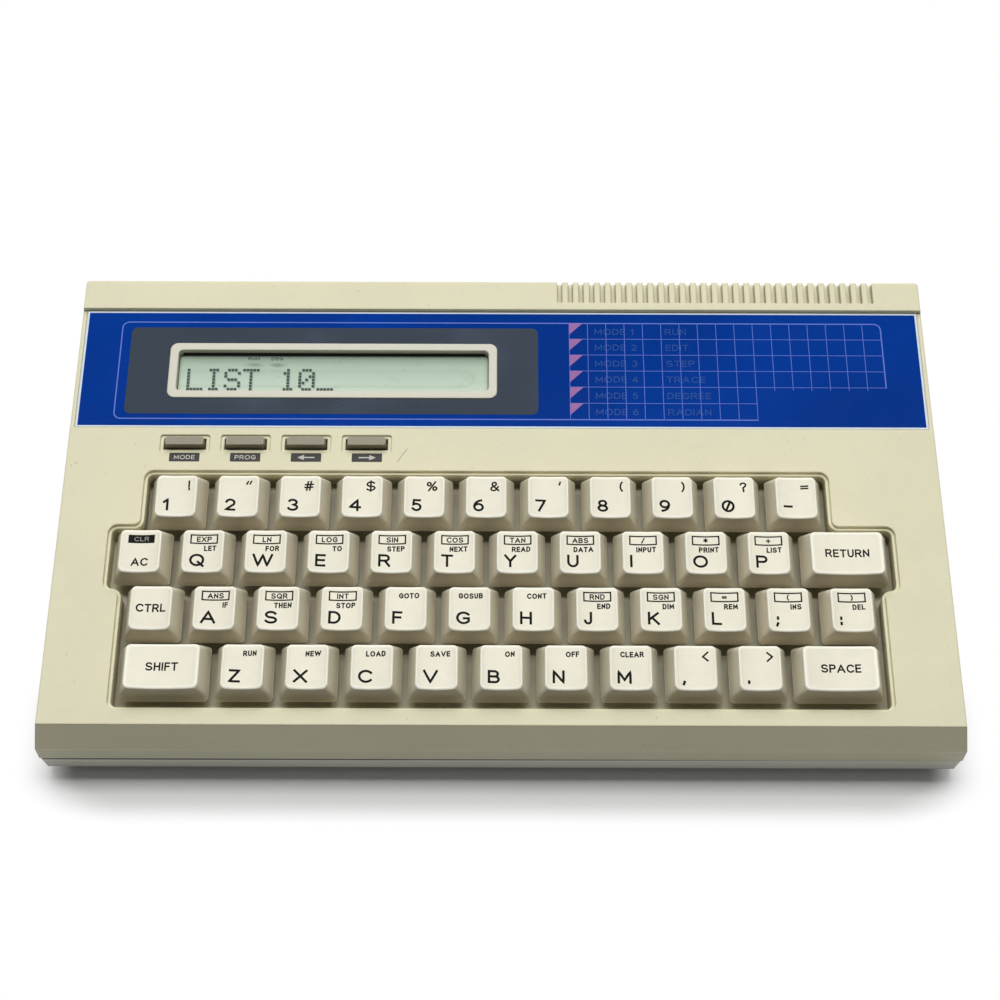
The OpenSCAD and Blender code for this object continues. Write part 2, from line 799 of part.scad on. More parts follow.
// Housing that the power switch's tongue slides in
module switch_housing() {
    clear = slide_gap + switch_tongue / 2;
    difference() {
        translate([switch_x - 6, wing_back - 8.5, board_top]) cube([16, 8, socket_z + 3 - board_top]);
        translate([switch_x - clear, wing_back - 3, socket_z - clear])
            cube([switch_travel + 2 * clear, 4, 2 * clear]);
    }
}

// Slotted connector behind the opening in the case's back
module edge_connector() {
    difference() {
        translate([edge_x - edge_w / 2 + 1, wing_back - 10, board_top])
            cube([edge_w - 2, 10, socket_z + 3.4 - board_top]);
        translate([edge_x - edge_w / 2 + 3, wing_back - 8, socket_z - 1.2]) cube([edge_w - 6, 9, 2.4]);
    }
}

// Ribbon that stands between the board and the display's own board
module ribbon() {
    top = bay_under - 2 * lcd_plate_t;
    translate([-ring_left - ribbon_w / 2, ring_y - stake_y - 2.2, board_top])
        cube([ribbon_w, ribbon_t, top - board_top]);
}

module circuit_board() {
    deck_frame() {
        color(board_green) difference() {
            between(board_foot, board_top) board_outline();
            at_posts() between(board_foot - over, board_top + over) circle(pin_r + slide_gap);
        }
        color([0.12, 0.12, 0.13]) {
            for (place = CHIPS) chip(place);
            socket(dc_x, 9, 11, 2.8);
            for (x = audio_xs) socket(x, 8, 10, 1.8);
        }
        color([0.75, 0.75, 0.76]) switch_housing();
        color([0.2, 0.2, 0.21]) edge_connector();
        color([0.8, 0.8, 0.78])
            for (place = CAPACITORS) translate([place[0], place[1], board_foot - capacitor_h])
                cylinder(r = capacitor_r, h = capacitor_h);
        color([0.85, 0.85, 0.8]) ribbon();
    }
}

module dome() {
    rotate_extrude() polygon([
        [dome_r - dome_foot_w, 0], [dome_r, 0], [dome_r - dome_slope, dome_h], [0, dome_h],
        [0, dome_h - dome_wall], [dome_r - dome_slope - dome_skin, dome_h - dome_wall]
    ]);
}

module dome_mat() {
    left = row_left(1) + well_side_gap;
    front = row_y(3) - dome_r - mat_margin;
    color([0.75, 0.74, 0.7]) deck_frame() {
        difference() {
            between(board_top, mat_top) translate([left, front])
                square([-2 * left, button_y + dome_r + mat_margin - front]);
            at_keys() between(board_top - over, mat_top + over) circle(dome_r - dome_foot_w);
            at_buttons() between(board_top - over, mat_top + over) circle(dome_r - dome_foot_w);
            at_posts() between(board_top - over, mat_top + over) circle(post_r + mat_gap);
        }
        at_keys() translate([0, 0, mat_top]) dome();
        at_buttons() translate([0, 0, mat_top]) dome();
    }
}

// One row of two cells between a sprung contact and a flat one; flip turns its poles round
module cell_row(y, flip) {
    full = cell_l + nub_h;
    side = 12;
    translate([bay_x, y, cell_z]) mirror([flip ? 1 : 0, 0, 0]) {
        color("silver") {
            translate([-bay_len / 2, -side / 2, -side / 2]) cube([plate_t, side, side]);
            translate([plate_t - bay_len / 2, 0, 0]) rotate([0, 90, 0])
                rotate_extrude() polygon([[0, 0], [5, 0], [2.5, spring_l], [0, spring_l]]);
            translate([bay_len / 2 - plate_t, -side / 2, -side / 2]) cube([plate_t, side, side]);
        }
        for (i = [0, 1]) color([0.2, 0.2, 0.22])
            translate([plate_t + spring_l - bay_len / 2 + (i + 1) * cell_play + i * full, 0, 0])
                rotate([0, 90, 0]) rotate_extrude() polygon([
                    [0, 0], [cell_d / 2, 0], [cell_d / 2, cell_l], [nub_r, cell_l], [nub_r, full], [0, full]
                ]);
    }
}

module battery_set() {
    cell_row(bay_y0 + cell_gap + cell_d / 2, false);
    cell_row(bay_y1 - cell_gap - cell_d / 2, true);
}

module battery_door() {
    color(cream) difference() {
        intersection() {
            door_plate(slide_gap);
            tub_body(0, 0);
        }
        for (i = [0:3])
            translate([bay_x - grip_w / 2, tub_back - grip_start - grip_pitch * i, foot_h - over])
                cube([grip_w, grip_d, over + grip_drop]);
    }
}

module power_switch() {
    color([0.15, 0.15, 0.16]) deck_frame() translate([switch_x, 0, socket_z]) {
        knob = case_back - wall - 1.2;
        tip = wing_back - 2.6;
        translate([-switch_w / 2, knob, -switch_h / 2]) cube([switch_w, wall + 1, switch_h]);
        translate([-switch_tongue / 2, tip, -switch_tongue / 2])
            cube([switch_tongue, knob + 0.6 - tip, switch_tongue]);
    }
}

module screws() {
    color("silver") deck_frame() {
        at_bosses() {
            between(screw_seat, screw_tip) circle(screw_r);
            between(screw_seat - screw_head_h, screw_seat) circle(screw_head_r);
        }
        at_posts() {
            between(board_foot, pin_tip) circle(pin_r);
            between(board_foot - pin_head_h, board_foot) circle(pin_r + 1);
        }
    }
}

// ---------- Keys and buttons ----------

// Outline of a keycap: at its foot for share 0, and at its top for share 1
module cap_outline(w, share, inset, r) {
    side = share * side_slope + inset + r;
    front = share * front_slope + inset + r;
    back = share * back_slope + inset + r;
    for (x = [side - w / 2, w / 2 - side], y = [front - key_d / 2, key_d / 2 - back])
        translate([x, y]) circle(r, $fn = 12);
}

// Hollow cap with sloping sides, soft top edges and a dished top
module keycap(w) {
    top_w = w - 2 * side_slope;
    dish_r = (top_w * top_w / 4 + dish * dish) / (2 * dish);
    difference() {
        hull() {
            between(cap_foot, cap_foot + 0.01) cap_outline(w, 0, 0, cap_foot_r);
            between(cap_rise - cap_soft, cap_rise - cap_soft + 0.01) cap_outline(w, 1, 0, cap_top_r);
            between(cap_rise - 0.01, cap_rise) cap_outline(w, 1, 0.8 * cap_soft, cap_rim_r);
        }
        translate([0, 0, cap_rise - dish + dish_r]) rotate([90, 0, 0])
            cylinder(r = dish_r, h = 2 * key_d, center = true, $fn = 96);
        tapered_box(w - 2 * cap_wall, key_d - 2 * cap_wall, side_slope, front_slope, back_slope,
            cap_foot - 0.01, cap_rise - dish - cap_roof);
    }
}

// Stem down to its dome, with the two hooks that hold it in its guide
module key_stem() {
    top = cap_rise - dish - cap_roof + 2 * bite;
    reach = guide_hole / 2 + hook_reach;
    hook_top = guide_foot - hook_gap;
    translate([-stem_w / 2, -stem_w / 2, stem_foot]) cube([stem_w, stem_w, top - stem_foot]);
    along_y(-hook_d / 2, hook_d / 2) polygon([
        [-reach, hook_top], [reach, hook_top],
        [stem_w / 2, hook_top - hook_h], [-stem_w / 2, hook_top - hook_h]
    ]);
}

module key(row, i) {
    color(ivory) deck_frame() translate([key_x(row, i), row_y(row), 0]) {
        keycap(units(ROWS[row][i]) * pitch - key_gap);
        key_stem();
    }
}

// Function button with a flange under the deck and a stem down to its dome
module button(i) {
    flange = -wall - hook_gap;
    x = button_w / 2 + 1;
    y = button_d / 2 + 1;
    color(olive) deck_frame() translate([button_first + i * pitch, button_y, 0]) {
        tapered_box(button_w, button_d, 0.4, 0.2, 0.2, flange - hook_h, button_rise);
        translate([-x, -y, flange - hook_h]) cube([2 * x, 2 * y, hook_h]);
        translate([-button_stem_w / 2, -button_stem_d / 2, stem_foot])
            cube([button_stem_w, button_stem_d, flange - stem_foot]);
    }
}

// ---------- Nodes ----------

upper_case();
lower_case();
display_panel();
lcd_module();
circuit_board();
dome_mat();
battery_set();
battery_door();
power_switch();
screws();
for (i = [0:len(BUTTONS) - 1]) {
    button(i);
}
for (row = [0:len(ROWS) - 1], i = [0:len(ROWS[row]) - 1]) {
    key(row, i);
}
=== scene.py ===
"""Dresses a wedge-shaped home computer: moulded case, sliding keycaps, printed panel and display."""
import json
import logging
import math
from dataclasses import dataclass, field
from enum import Enum
from typing import Callable, Dict, List, Optional, Sequence, Tuple, Union

import bpy
import numpy as np
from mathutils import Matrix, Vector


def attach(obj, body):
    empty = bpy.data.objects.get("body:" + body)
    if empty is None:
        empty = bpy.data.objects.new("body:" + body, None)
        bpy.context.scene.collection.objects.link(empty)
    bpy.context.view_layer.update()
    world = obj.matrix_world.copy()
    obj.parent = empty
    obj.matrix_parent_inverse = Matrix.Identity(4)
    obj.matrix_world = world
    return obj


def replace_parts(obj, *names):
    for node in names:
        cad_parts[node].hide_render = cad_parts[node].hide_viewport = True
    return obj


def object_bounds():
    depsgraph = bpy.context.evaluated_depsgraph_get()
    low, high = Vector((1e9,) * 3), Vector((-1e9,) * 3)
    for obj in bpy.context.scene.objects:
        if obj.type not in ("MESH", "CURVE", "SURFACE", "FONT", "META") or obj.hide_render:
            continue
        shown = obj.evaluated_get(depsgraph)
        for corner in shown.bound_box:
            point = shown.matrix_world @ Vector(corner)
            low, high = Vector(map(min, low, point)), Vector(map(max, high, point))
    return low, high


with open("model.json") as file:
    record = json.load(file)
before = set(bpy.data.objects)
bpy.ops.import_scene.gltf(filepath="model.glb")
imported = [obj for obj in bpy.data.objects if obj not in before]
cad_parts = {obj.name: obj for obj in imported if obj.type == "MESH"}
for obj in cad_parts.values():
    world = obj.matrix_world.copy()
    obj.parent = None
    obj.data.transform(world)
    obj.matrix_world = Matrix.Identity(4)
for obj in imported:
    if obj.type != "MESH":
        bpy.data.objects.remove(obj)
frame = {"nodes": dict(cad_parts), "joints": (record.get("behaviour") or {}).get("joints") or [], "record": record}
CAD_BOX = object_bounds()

LOG = logging.getLogger("home_computer")
MM = 0.001
# How far print reaches into what it lies on and stands above it, in millimetres, and the least cosine of
# half a turn at which the corner of a line is still mitred
SUNK = 0.03
PROUD = 0.02
SHARPEST = 0.62
Point = Tuple[float, ...]
Number = Union["Socket", float, int]
Colour = Tuple[float, float, float]


# ---------- Places ----------

@dataclass(frozen=True)
class KeySizes:
    """Sizes of a keycap in millimetres, the same for every key.

    The slopes are how far the top's edges stand in from the foot's edges. The function buttons' rise
    above the deck is the one level that a flat top gives.
    """

    button_rise: float = 2.0
    rise: float = 5.0
    height: float = 8.0
    side_slope: float = 2.3
    front_slope: float = 1.0
    back_slope: float = 2.6
    dish: float = 0.8
    foot_radius: float = 1.4
    top_radius: float = 1.7
    edge_radius: float = 0.55
    wall: float = 1.3
    roof: float = 1.6


@dataclass(frozen=True)
class Deck:
    """The sloping frame that keys, panel and hood are laid out in, in millimetres.

    x runs to the right, y away from the user and z square to the deck. y = 0 is the back edge of the
    first row's key tops and z = 0 the deck's surface.
    """

    tilt: float
    origin_y: float
    origin_z: float

    @classmethod
    def from_frame(cls, sizes: KeySizes) -> "Deck":
        """Finds the deck from the first key's press axis and foot, and from a button's top.

        Args:
            sizes: the sizes that say where those stand on the deck.

        Returns:
            The deck's frame.
        """
        press = next(joint for joint in frame["joints"] if joint["name"] == "key_1_press")
        tilt = math.atan2(press["axis"][1], -press["axis"][2])
        flat = cls(tilt, 0.0, 0.0)
        _, key = flat.node_box("key_1")
        _, button = flat.node_box("button_mode")
        return cls(tilt, key[1] - sizes.back_slope, button[2] - sizes.button_rise)

    def to_object(self, points: np.ndarray) -> np.ndarray:
        """Moves deck points and turns them by the tilt about the x axis.

        Args:
            points: an array (n, 3) in the deck's millimetres.

        Returns:
            The same points in the object's metres.
        """
        cos, sin = math.cos(self.tilt), math.sin(self.tilt)
        y = points[:, 1] + self.origin_y
        z = points[:, 2] + self.origin_z
        return np.column_stack([points[:, 0], y * cos - z * sin, y * sin + z * cos]) * MM

    def to_deck(self, points: np.ndarray) -> np.ndarray:
        """Turns points back by the tilt and moves them, the inverse of to_object.

        Args:
            points: an array (n, 3) in the object's metres.

        Returns:
            The same points in the deck's millimetres.
        """
        cos, sin = math.cos(self.tilt), math.sin(self.tilt)
        y, z = points[:, 1] / MM, points[:, 2] / MM
        return np.column_stack([points[:, 0] / MM, y * cos + z * sin - self.origin_y,
                                z * cos - y * sin - self.origin_z])

    def node_points(self, node: str) -> np.ndarray:
        """Reads the points of a CAD node.

        Args:
            node: the node's name.

        Returns:
            An array (n, 3) in the deck's millimetres.
        """
        mesh = frame["nodes"][node].data
        points = np.empty(len(mesh.vertices) * 3)
        mesh.vertices.foreach_get("co", points)
        return self.to_deck(points.reshape(-1, 3))

    def node_box(self, node: str) -> Tuple[np.ndarray, np.ndarray]:
        """Lowest and highest deck corner of a CAD node, in millimetres."""
        points = self.node_points(node)
        return points.min(0), points.max(0)

    def hole(self, node: str, rim: float) -> Tuple[np.ndarray, np.ndarray]:
        """Finds a plate's hole as the box of its points that lie well inside its sides.

        Args:
            node: the plate's CAD node.
            rim: how far inside the sides a point has to lie.

        Returns:
            The hole's lowest and highest corner (x, y).
        """
        points = self.node_points(node)[:, :2]
        low, high = points.min(0), points.max(0)
        points = points[np.all((points > low + rim) & (points < high - rim), axis=1)]
        return points.min(0), points.max(0)

    def row_pitch(self) -> float:
        """Distance between the rows of keys, in millimetres."""
        return float(self.node_box("key_1")[0][1] - self.node_box("key_q")[0][1])


# ---------- Shader graphs ----------

class Socket:
    """One value of a shader graph. Python's operators on it add Math nodes."""

    def __init__(self, graph: "Graph", output: bpy.types.NodeSocket) -> None:
        """Keeps the graph and the node socket that carries the value."""
        self.graph = graph
        self.output = output

    def math(self, operation: str, *others: Number) -> "Socket":
        """Adds one Math node whose first input is this value."""
        inputs = {index: value for index, value in enumerate((self, *others))}
        return self.graph.add("ShaderNodeMath", {"operation": operation}, inputs)

    def __add__(self, other: Number) -> "Socket":
        """This value plus another."""
        return self.math("ADD", other)

    __radd__ = __add__

    def __mul__(self, other: Number) -> "Socket":
        """This value times another."""
        return self.math("MULTIPLY", other)

    __rmul__ = __mul__

    def __sub__(self, other: Number) -> "Socket":
        """This value less another."""
        return self.math("SUBTRACT", other)

    def __rsub__(self, other: Number) -> "Socket":
        """Another value less this one."""
        return self.math("MULTIPLY", -1.0).math("ADD", other)

    def __truediv__(self, other: Number) -> "Socket":
        """This value divided by another."""
        return self.math("DIVIDE", other)

    def __rtruediv__(self, other: Number) -> "Socket":
        """Another value divided by this one."""
        return self.math("POWER", -1.0).math("MULTIPLY", other)

    def __abs__(self) -> "Socket":
        """This value without its sign."""
        return self.math("ABSOLUTE")

    def over(self, low: Number, high: Number) -> "Socket":
        """Rises smoothly from 0 to 1 as the value goes from low to high, or falls if high is less."""
        return self.graph.add("ShaderNodeMapRange", {"interpolation_type": "SMOOTHSTEP"},
                              {"Value": self, "From Min": low, "From Max": high})


class Graph:
    """The nodes of one material or world, with the deck's coordinates ready to use."""

    def __init__(self, name: str, owner: Optional[bpy.types.ID] = None) -> None:
        """Starts with no nodes.

        Args:
            name: the name of a new material.
            owner: the world or material that gets the nodes, or None for a new material.
        """
        self.owner = owner or bpy.data.materials.new(name)
        self.owner.use_nodes = True
        self.tree = self.owner.node_tree
        self.tree.nodes.clear()

    def node(self, kind: str, settings: Optional[Dict] = None,
             inputs: Optional[Dict] = None) -> bpy.types.Node:
        """Adds one node.

        Args:
            kind: the node's type.
            settings: what is set on the node first, such as a Math node's operation.
            inputs: values or links by the name or number of the node's sockets.

        Returns:
            The node.
        """
        node = self.tree.nodes.new(kind)
        for key, value in (settings or {}).items():
            setattr(node, key, value)
        for key, value in (inputs or {}).items():
            if isinstance(value, Socket):
                self.tree.links.new(value.output, node.inputs[key])
            elif node.inputs[key].type == "RGBA":
                node.inputs[key].default_value = (*value, 1.0)
            else:
                node.inputs[key].default_value = value
        return node

    def add(self, kind: str, settings: Optional[Dict] = None, inputs: Optional[Dict] = None,
            output: Union[int, str] = 0) -> Socket:
        """Adds one node and gives one of its outputs."""
        return Socket(self, self.node(kind, settings, inputs).outputs[output])

    def place(self) -> Socket:
        """The point on the piece, in metres."""
        return self.add("ShaderNodeTexCoord", output="Object")

    def axes(self) -> List[Socket]:
        """The point's x, y and z on the piece, in metres, as three values."""
        split = self.node("ShaderNodeSeparateXYZ", inputs={0: self.place()})
        return [Socket(self, output) for output in split.outputs]

    def deck_axes(self, deck: Deck) -> Tuple[Socket, Socket, Socket]:
        """Turns the point into the deck's frame, as Deck.to_deck does.

        Args:
            deck: the frame.

        Returns:
            x, y and z in millimetres, as three values.
        """
        x, y, z = (axis / MM for axis in self.axes())
        cos, sin = math.cos(deck.tilt), math.sin(deck.tilt)
        return x, y * cos + z * sin - deck.origin_y, z * cos - y * sin - deck.origin_z

    def noise(self, size_mm: float, detail: float = 2.0, stretch: Point = (1.0, 1.0, 1.0)) -> Socket:
        """Noise from about 0.3 to 0.7.

        Args:
            size_mm: how far across its spots are.
            detail: the number of finer layers.
            stretch: how many times longer the spots are along x, y and z.

        Returns:
            The noise's value.
        """
        scale = tuple(1.0 / (size_mm * MM * part) for part in stretch)
        at = self.add("ShaderNodeMapping", inputs={"Vector": self.place(), "Scale": scale})
        return self.add("ShaderNodeTexNoise", inputs={"Vector": at, "Scale": 1.0, "Detail": detail})

    def mix(self, share: Number, first: Union[Socket, Colour], second: Union[Socket, Colour]) -> Socket:
        """Mixes two colours by a share from 0 to 1."""
        return self.add("ShaderNodeMix", {"data_type": "RGBA"}, {0: share, 6: first, 7: second}, 2)

    def soft_edges(self, radius_mm: float, height: Optional[Socket] = None, strength: float = 0.0,
                   depth_mm: float = 0.05) -> Socket:
        """The surface's normal with rounded edges, and with bumps where a height is given.

        Args:
            radius_mm: the edges' radius.
            height: the bumps' height as a value from 0 to 1, or None for none.
            strength: the bumps' strength.
            depth_mm: how high a bump of height 1 is.

        Returns:
            The normal.
        """
        edge = self.add("ShaderNodeBevel", {"samples": 6}, {"Radius": radius_mm * MM})
        if height is None:
            return edge
        inputs = {"Height": height, "Strength": strength, "Distance": depth_mm * MM, "Normal": edge}
        return self.add("ShaderNodeBump", inputs=inputs)

    def finish(self, **inputs: Union[Socket, Colour, float]) -> bpy.types.Material:
        """Ends the graph in a Principled shader.

        Args:
            **inputs: values or links by the names of the shader's sockets, with _ for a space.

        Returns:
            The material.
        """
        named = {key.replace("_", " ").replace("Ior", "IOR"): value for key, value in inputs.items()}
        shader = self.add("ShaderNodeBsdfPrincipled", inputs=named)
        self.node("ShaderNodeOutputMaterial", inputs={"Surface": shader})
        return self.owner


def shade(red: int, green: int, blue: int) -> Colour:
    """Linear colour of three display values from 0 to 255.

    Below 0.04045 the display's curve is straight, value / 12.92, and above it a power of 2.4.
    """
    shares = (part / 255.0 for part in (red, green, blue))
    return tuple(part / 12.92 if part <= 0.04045 else ((part + 0.055) / 1.055) ** 2.4 for part in shares)


def toned(colour: Colour, factor: float) -> Colour:
    """A colour made lighter or darker by a factor, at most 1."""
    return tuple(min(1.0, part * factor) for part in colour)


# ---------- Finishes ----------

@dataclass(frozen=True)
class MouldedPlastic:
    """Opaque moulded plastic with a spark-eroded grain, slow changes of tone and a few dark specks."""

    name: str
    colour: Colour
    roughness: float = 0.5
    grain_mm: float = 0.35
    grain: float = 0.25
    mottle: float = 0.012
    specks: float = 0.0
    edge_mm: float = 0.25
    specular: float = 0.4

    def base(self, graph: Graph) -> Socket:
        """The plastic's colour: lighter and darker by the mottle, with specks where noise peaks.

        Args:
            graph: the graph that the colour is made in.

        Returns:
            The colour.
        """
        dark, light = toned(self.colour, 1.0 - 2.0 * self.mottle), toned(self.colour, 1.0 + self.mottle)
        tone = graph.noise(22.0, 3.0) * 0.7 + graph.noise(2.5, 2.0) * 0.3
        colour = graph.mix(tone.over(0.34, 0.66), dark, light)
        if self.specks:
            peak = graph.noise(0.9, 1.0).over(0.80 - 0.03 * self.specks, 0.84 - 0.03 * self.specks)
            colour = graph.mix(peak * 0.55, colour, toned(self.colour, 0.35))
        return colour

    def material(self) -> bpy.types.Material:
        """The finished material."""
        graph = Graph(self.name)
        return self.close(graph, self.base(graph))

    def close(self, graph: Graph, colour: Socket) -> bpy.types.Material:
        """Ends a graph with this plastic's gloss and grain.

        Args:
            graph: the graph.
            colour: the colour that it has come to.

        Returns:
            The material.
        """
        rough = graph.noise(6.0, 2.0) * 0.16 + (self.roughness - 0.08)
        grain = graph.noise(self.grain_mm, 2.0)
        normal = graph.soft_edges(self.edge_mm, grain, self.grain, 0.04)
        return graph.finish(Base_Color=colour, Roughness=rough, Normal=normal,
                            Specular_Ior_Level=self.specular)


@dataclass(frozen=True)
class Scratch:
    """A thin scratch on the deck by its middle, its length and its angle in degrees."""

    x: float
    y: float
    length: float
    angle: float
    width: float = 0.14

    def mask(self, x: Socket, y: Socket) -> Socket:
        """Where the distance along is under half the length and the distance across half the width.

        Args:
            x, y: the point's deck coordinates.

        Returns:
            1 on the scratch and 0 elsewhere.
        """
        cos, sin = math.cos(math.radians(self.angle)), math.sin(math.radians(self.angle))
        along = abs((x - self.x) * cos + (y - self.y) * sin)
        across = abs((y - self.y) * cos - (x - self.x) * sin)
        return across.over(0.2, self.width / 2) * along.over(self.length / 2, self.length / 2 - 0.3)


@dataclass(frozen=True)
class CasePlastic(MouldedPlastic):
    """Moulded plastic of the case halves: a painted shadow line where they meet, painted shade in the vents,
    scratched on the deck.

    Args:
        seam_mm: half the painted shadow line's width at the left end and at the right end.
        seam_x: where those ends are.
        crease: how far above the seam the apron turns in to the skirt, which gets greyer painted shade.
        front_y: between which places the lower half's front turns pale with painted light.
        well_z: between which levels the key well's walls turn dark with painted shade.
        well_rim: how far the well stands out beyond the keys' sides.
        vent_x, vent_pitch, vent_width, vent_depth, vent_count: the first groove's left edge, and the
            grooves' distance, width, depth of painted shade and number.
        ring_rim: how far inside the panel's sides its hole for the pale ring lies.
    """

    seam_mm: Tuple[float, float] = (0.85, 0.12)
    seam_x: Tuple[float, float] = (-90.0, 110.0)
    crease: float = 6.0
    front_y: Tuple[float, float] = (-75.0, -88.0)
    well_z: Tuple[float, float] = (-3.5, -5.0)
    well_rim: float = 5.0
    vent_x: float = 18.0
    vent_pitch: float = 3.5
    vent_width: float = 1.6
    vent_depth: float = 0.5
    vent_count: int = 30
    ring_rim: float = 3.0
    scratches: Tuple[Scratch, ...] = (
        Scratch(-31.2, 10.0, 6.0, 57.0), Scratch(-134.5, 6.0, 0.8, 15.0), Scratch(-133.0, 6.9, 1.0, 25.0))
    # Colours of painted shade, painted light, painted highlights and a painted reflection
    skirt_tint: Colour = shade(150, 152, 150)
    front_tint: Colour = shade(228, 229, 221)
    lip_tint: Colour = shade(255, 252, 240)
    well_tint: Colour = shade(172, 166, 140)
    dust_tint: Colour = shade(150, 146, 120)
    ring_tint: Colour = shade(214, 211, 194)

    def well(self, deck: Deck, x: Socket, y: Socket, z: Socket) -> Socket:
        """The key well's walls, with painted shade: under the deck, from the first to the last key and back to y =
        4.

        Args:
            deck: the deck, for the places of the shift and return keys.
            x, y, z: the point's deck coordinates.

        Returns:
            1 in the well and 0 elsewhere.
        """
        left, front, _ = deck.node_box("key_shift")[0] - self.well_rim
        right = deck.node_box("key_return")[1][0] + self.well_rim
        front += self.well_rim
        sides = x.over(left, left + 1.0) * x.over(right, right - 1.0)
        return z.over(*self.well_z) * sides * y.over(front - 0.3, front + 0.7) * y.over(4.0, 3.0)

    def dust(self, deck: Deck, x: Socket, y: Socket, z: Socket) -> Socket:
        """Painted shade in the corners of the vent grooves.

        In a groove, abs(place - width / 2) is near width / 2 at its walls, with place the remainder of
        (x - first groove) / pitch, times the pitch.

        Args:
            deck: the deck, for the hood's back edge.
            x, y, z: the point's deck coordinates.

        Returns:
            1 where the shade is painted and 0 elsewhere.
        """
        half, first, deep = self.vent_width / 2, self.vent_x, self.vent_depth
        last = first + (self.vent_count - 0.5) * self.vent_pitch
        hood = deck.node_box("upper_case")[1][1]
        place = abs(((x - first) / self.vent_pitch).math("FRACT") * self.vent_pitch - half)
        # painted shade: darker at the grooves' walls and below the vent depth
        dust = place.over(half - 0.5, half - 0.2) * z.over(-deep, -2.0 * deep)
        dust = dust * y.over(hood - 9.0, hood - 8.4) * z.over(-4.0, -3.0)
        return dust * x.over(first - 0.5, first - 0.2) * x.over(last + 0.1 * self.vent_pitch, last)

    def ring(self, deck: Deck, x: Socket, y: Socket) -> Socket:
        """The ring round the display, inside max(|x - middle| - half, |y - middle| - half) = 0.

        Args:
            deck: the deck, for the panel's hole.
            x, y: the point's deck coordinates.

        Returns:
            1 on the ring and 0 elsewhere.
        """
        low, high = deck.hole("display_panel", self.ring_rim)
        middle, half = (low + high) / 2, (high - low) / 2
        outside = (abs(x - middle[0]) - half[0]).math("MAXIMUM", abs(y - middle[1]) - half[1])
        return outside.over(0.3, 0.1)

    def shell(self, deck: Deck, seam: float) -> bpy.types.Material:
        """Lays the tints of all these places, mostly painted shade and light, over the plastic's own colour.

        Args:
            deck: the deck's frame.
            seam: the level where the halves meet.

        Returns:
            The material for both halves.
        """
        graph = Graph(self.name)
        x, y, z = graph.deck_axes(deck)
        wide, slim = self.seam_mm
        half = x.over(*self.seam_x) * (slim - wide) + wide
        away = abs(z - seam)
        # lip: bands of painted highlight along both sides of the seam's painted shadow line
        lip = away.over(half + 0.9, half + 0.5) * away.over(half - 0.1, half + 0.2)
        fold = seam + self.crease
        # painted shade: the skirt below the crease and the lower half, a little greyer and darker
        tints = [(z.over(fold + 0.3, fold - 0.3) * 0.15, self.skirt_tint),
                 # painted light: the lower half's front paler
                 (z.over(seam, seam - 0.3) * y.over(*self.front_y) * 0.8, self.front_tint),
                 # painted highlights beside the seam
                 (lip * 0.35, self.lip_tint),
                 # painted shadow: the dark line where the halves meet
                 ((away / half).over(1.0, 0.5) * 0.9, toned(self.colour, 0.1)),
                 # painted shade on the key well's walls
                 (self.well(deck, x, y, z) * 0.8, self.well_tint),
                 # painted shade in the corners of the vent grooves
                 (self.dust(deck, x, y, z) * 0.5, self.dust_tint),
                 # painted reflection: a greyer tint on the display's ring
                 (self.ring(deck, x, y), self.ring_tint)]
        tints += [(scratch.mask(x, y) * z.over(-0.3, -0.1) * 0.7, toned(self.colour, 0.3))
                  for scratch in self.scratches]
        colour = self.base(graph)
        for share, tint in tints:
            colour = graph.mix(share, colour, tint)
        return self.close(graph, colour)


@dataclass(frozen=True)
class CapPlastic(MouldedPlastic):
    """Moulded plastic of keycaps and buttons: tops with painted highlights on their edges over walls of painted
    shade.
    """

    # Tones by place, all painted light and shade: feet and walls, front feet and front walls, and the top's rim
    foot: Colour = (0.5, 0.5, 0.5)
    wall: Colour = (0.5, 0.5, 0.5)
    front_foot: Colour = (0.5, 0.5, 0.5)
    front_wall: Colour = (0.5, 0.5, 0.5)
    rim: Colour = (0.5, 0.5, 0.5)

    def cap(self, deck: Deck, front: float) -> bpy.types.Material:
        """The finished material, by the cap's own attribute "ring" and by the rows' places.

        The attribute is 0 at the foot, 1 where the wall ends, 2 where the top begins and 3 inside it. A
        front wall is where the remainder of (y - front) / pitch, times the rows' pitch, is small.

        Args:
            deck: the frame that rows are laid out in.
            front: the place y of one row's front foot.

        Returns:
            The material.
        """
        graph = Graph(self.name)
        ring = graph.add("ShaderNodeAttribute", {"attribute_name": "ring"}, output="Fac")
        _, y, _ = graph.deck_axes(deck)
        pitch = deck.row_pitch()
        # painted shade: walls darker towards the foot, front walls apart from side walls
        near = (((y - front) / pitch).math("FRACT") * pitch).over(1.5, 0.9)
        up = ring.over(0.0, 1.1)
        colour = graph.mix(near, graph.mix(up, self.foot, self.wall),
                           graph.mix(up, self.front_foot, self.front_wall))
        # painted highlight: a paler line along the foot
        colour = graph.mix(ring.over(0.1, 0.05) * 0.6, colour, self.wall)
        # painted highlight on the top's soft edge
        colour = graph.mix(ring.over(1.1, 1.6), colour, self.rim)
        return self.close(graph, graph.mix(ring.over(2.0, 2.6), colour, self.base(graph)))


@dataclass(frozen=True)
class Ink:
    """Thin printed ink, even in colour but for patches where it is a little thinner."""

    name: str
    colour: Colour
    roughness: float = 0.45
    fade: float = 0.12
    patch_mm: float = 0.5
    specular: float = 0.2

    def material(self) -> bpy.types.Material:
        """The finished material, lighter by the fade where noise is high.

        Returns:
            The material.
        """
        graph = Graph(self.name)
        thin = tuple(part * (1.0 + self.fade) for part in self.colour)
        colour = graph.mix(graph.noise(self.patch_mm, 2.0).over(0.5, 0.72), self.colour, thin)
        rough = graph.noise(3.0 * self.patch_mm, 1.0) * 0.2 + (self.roughness - 0.1)
        return graph.finish(Base_Color=colour, Roughness=rough, Specular_Ior_Level=self.specular)


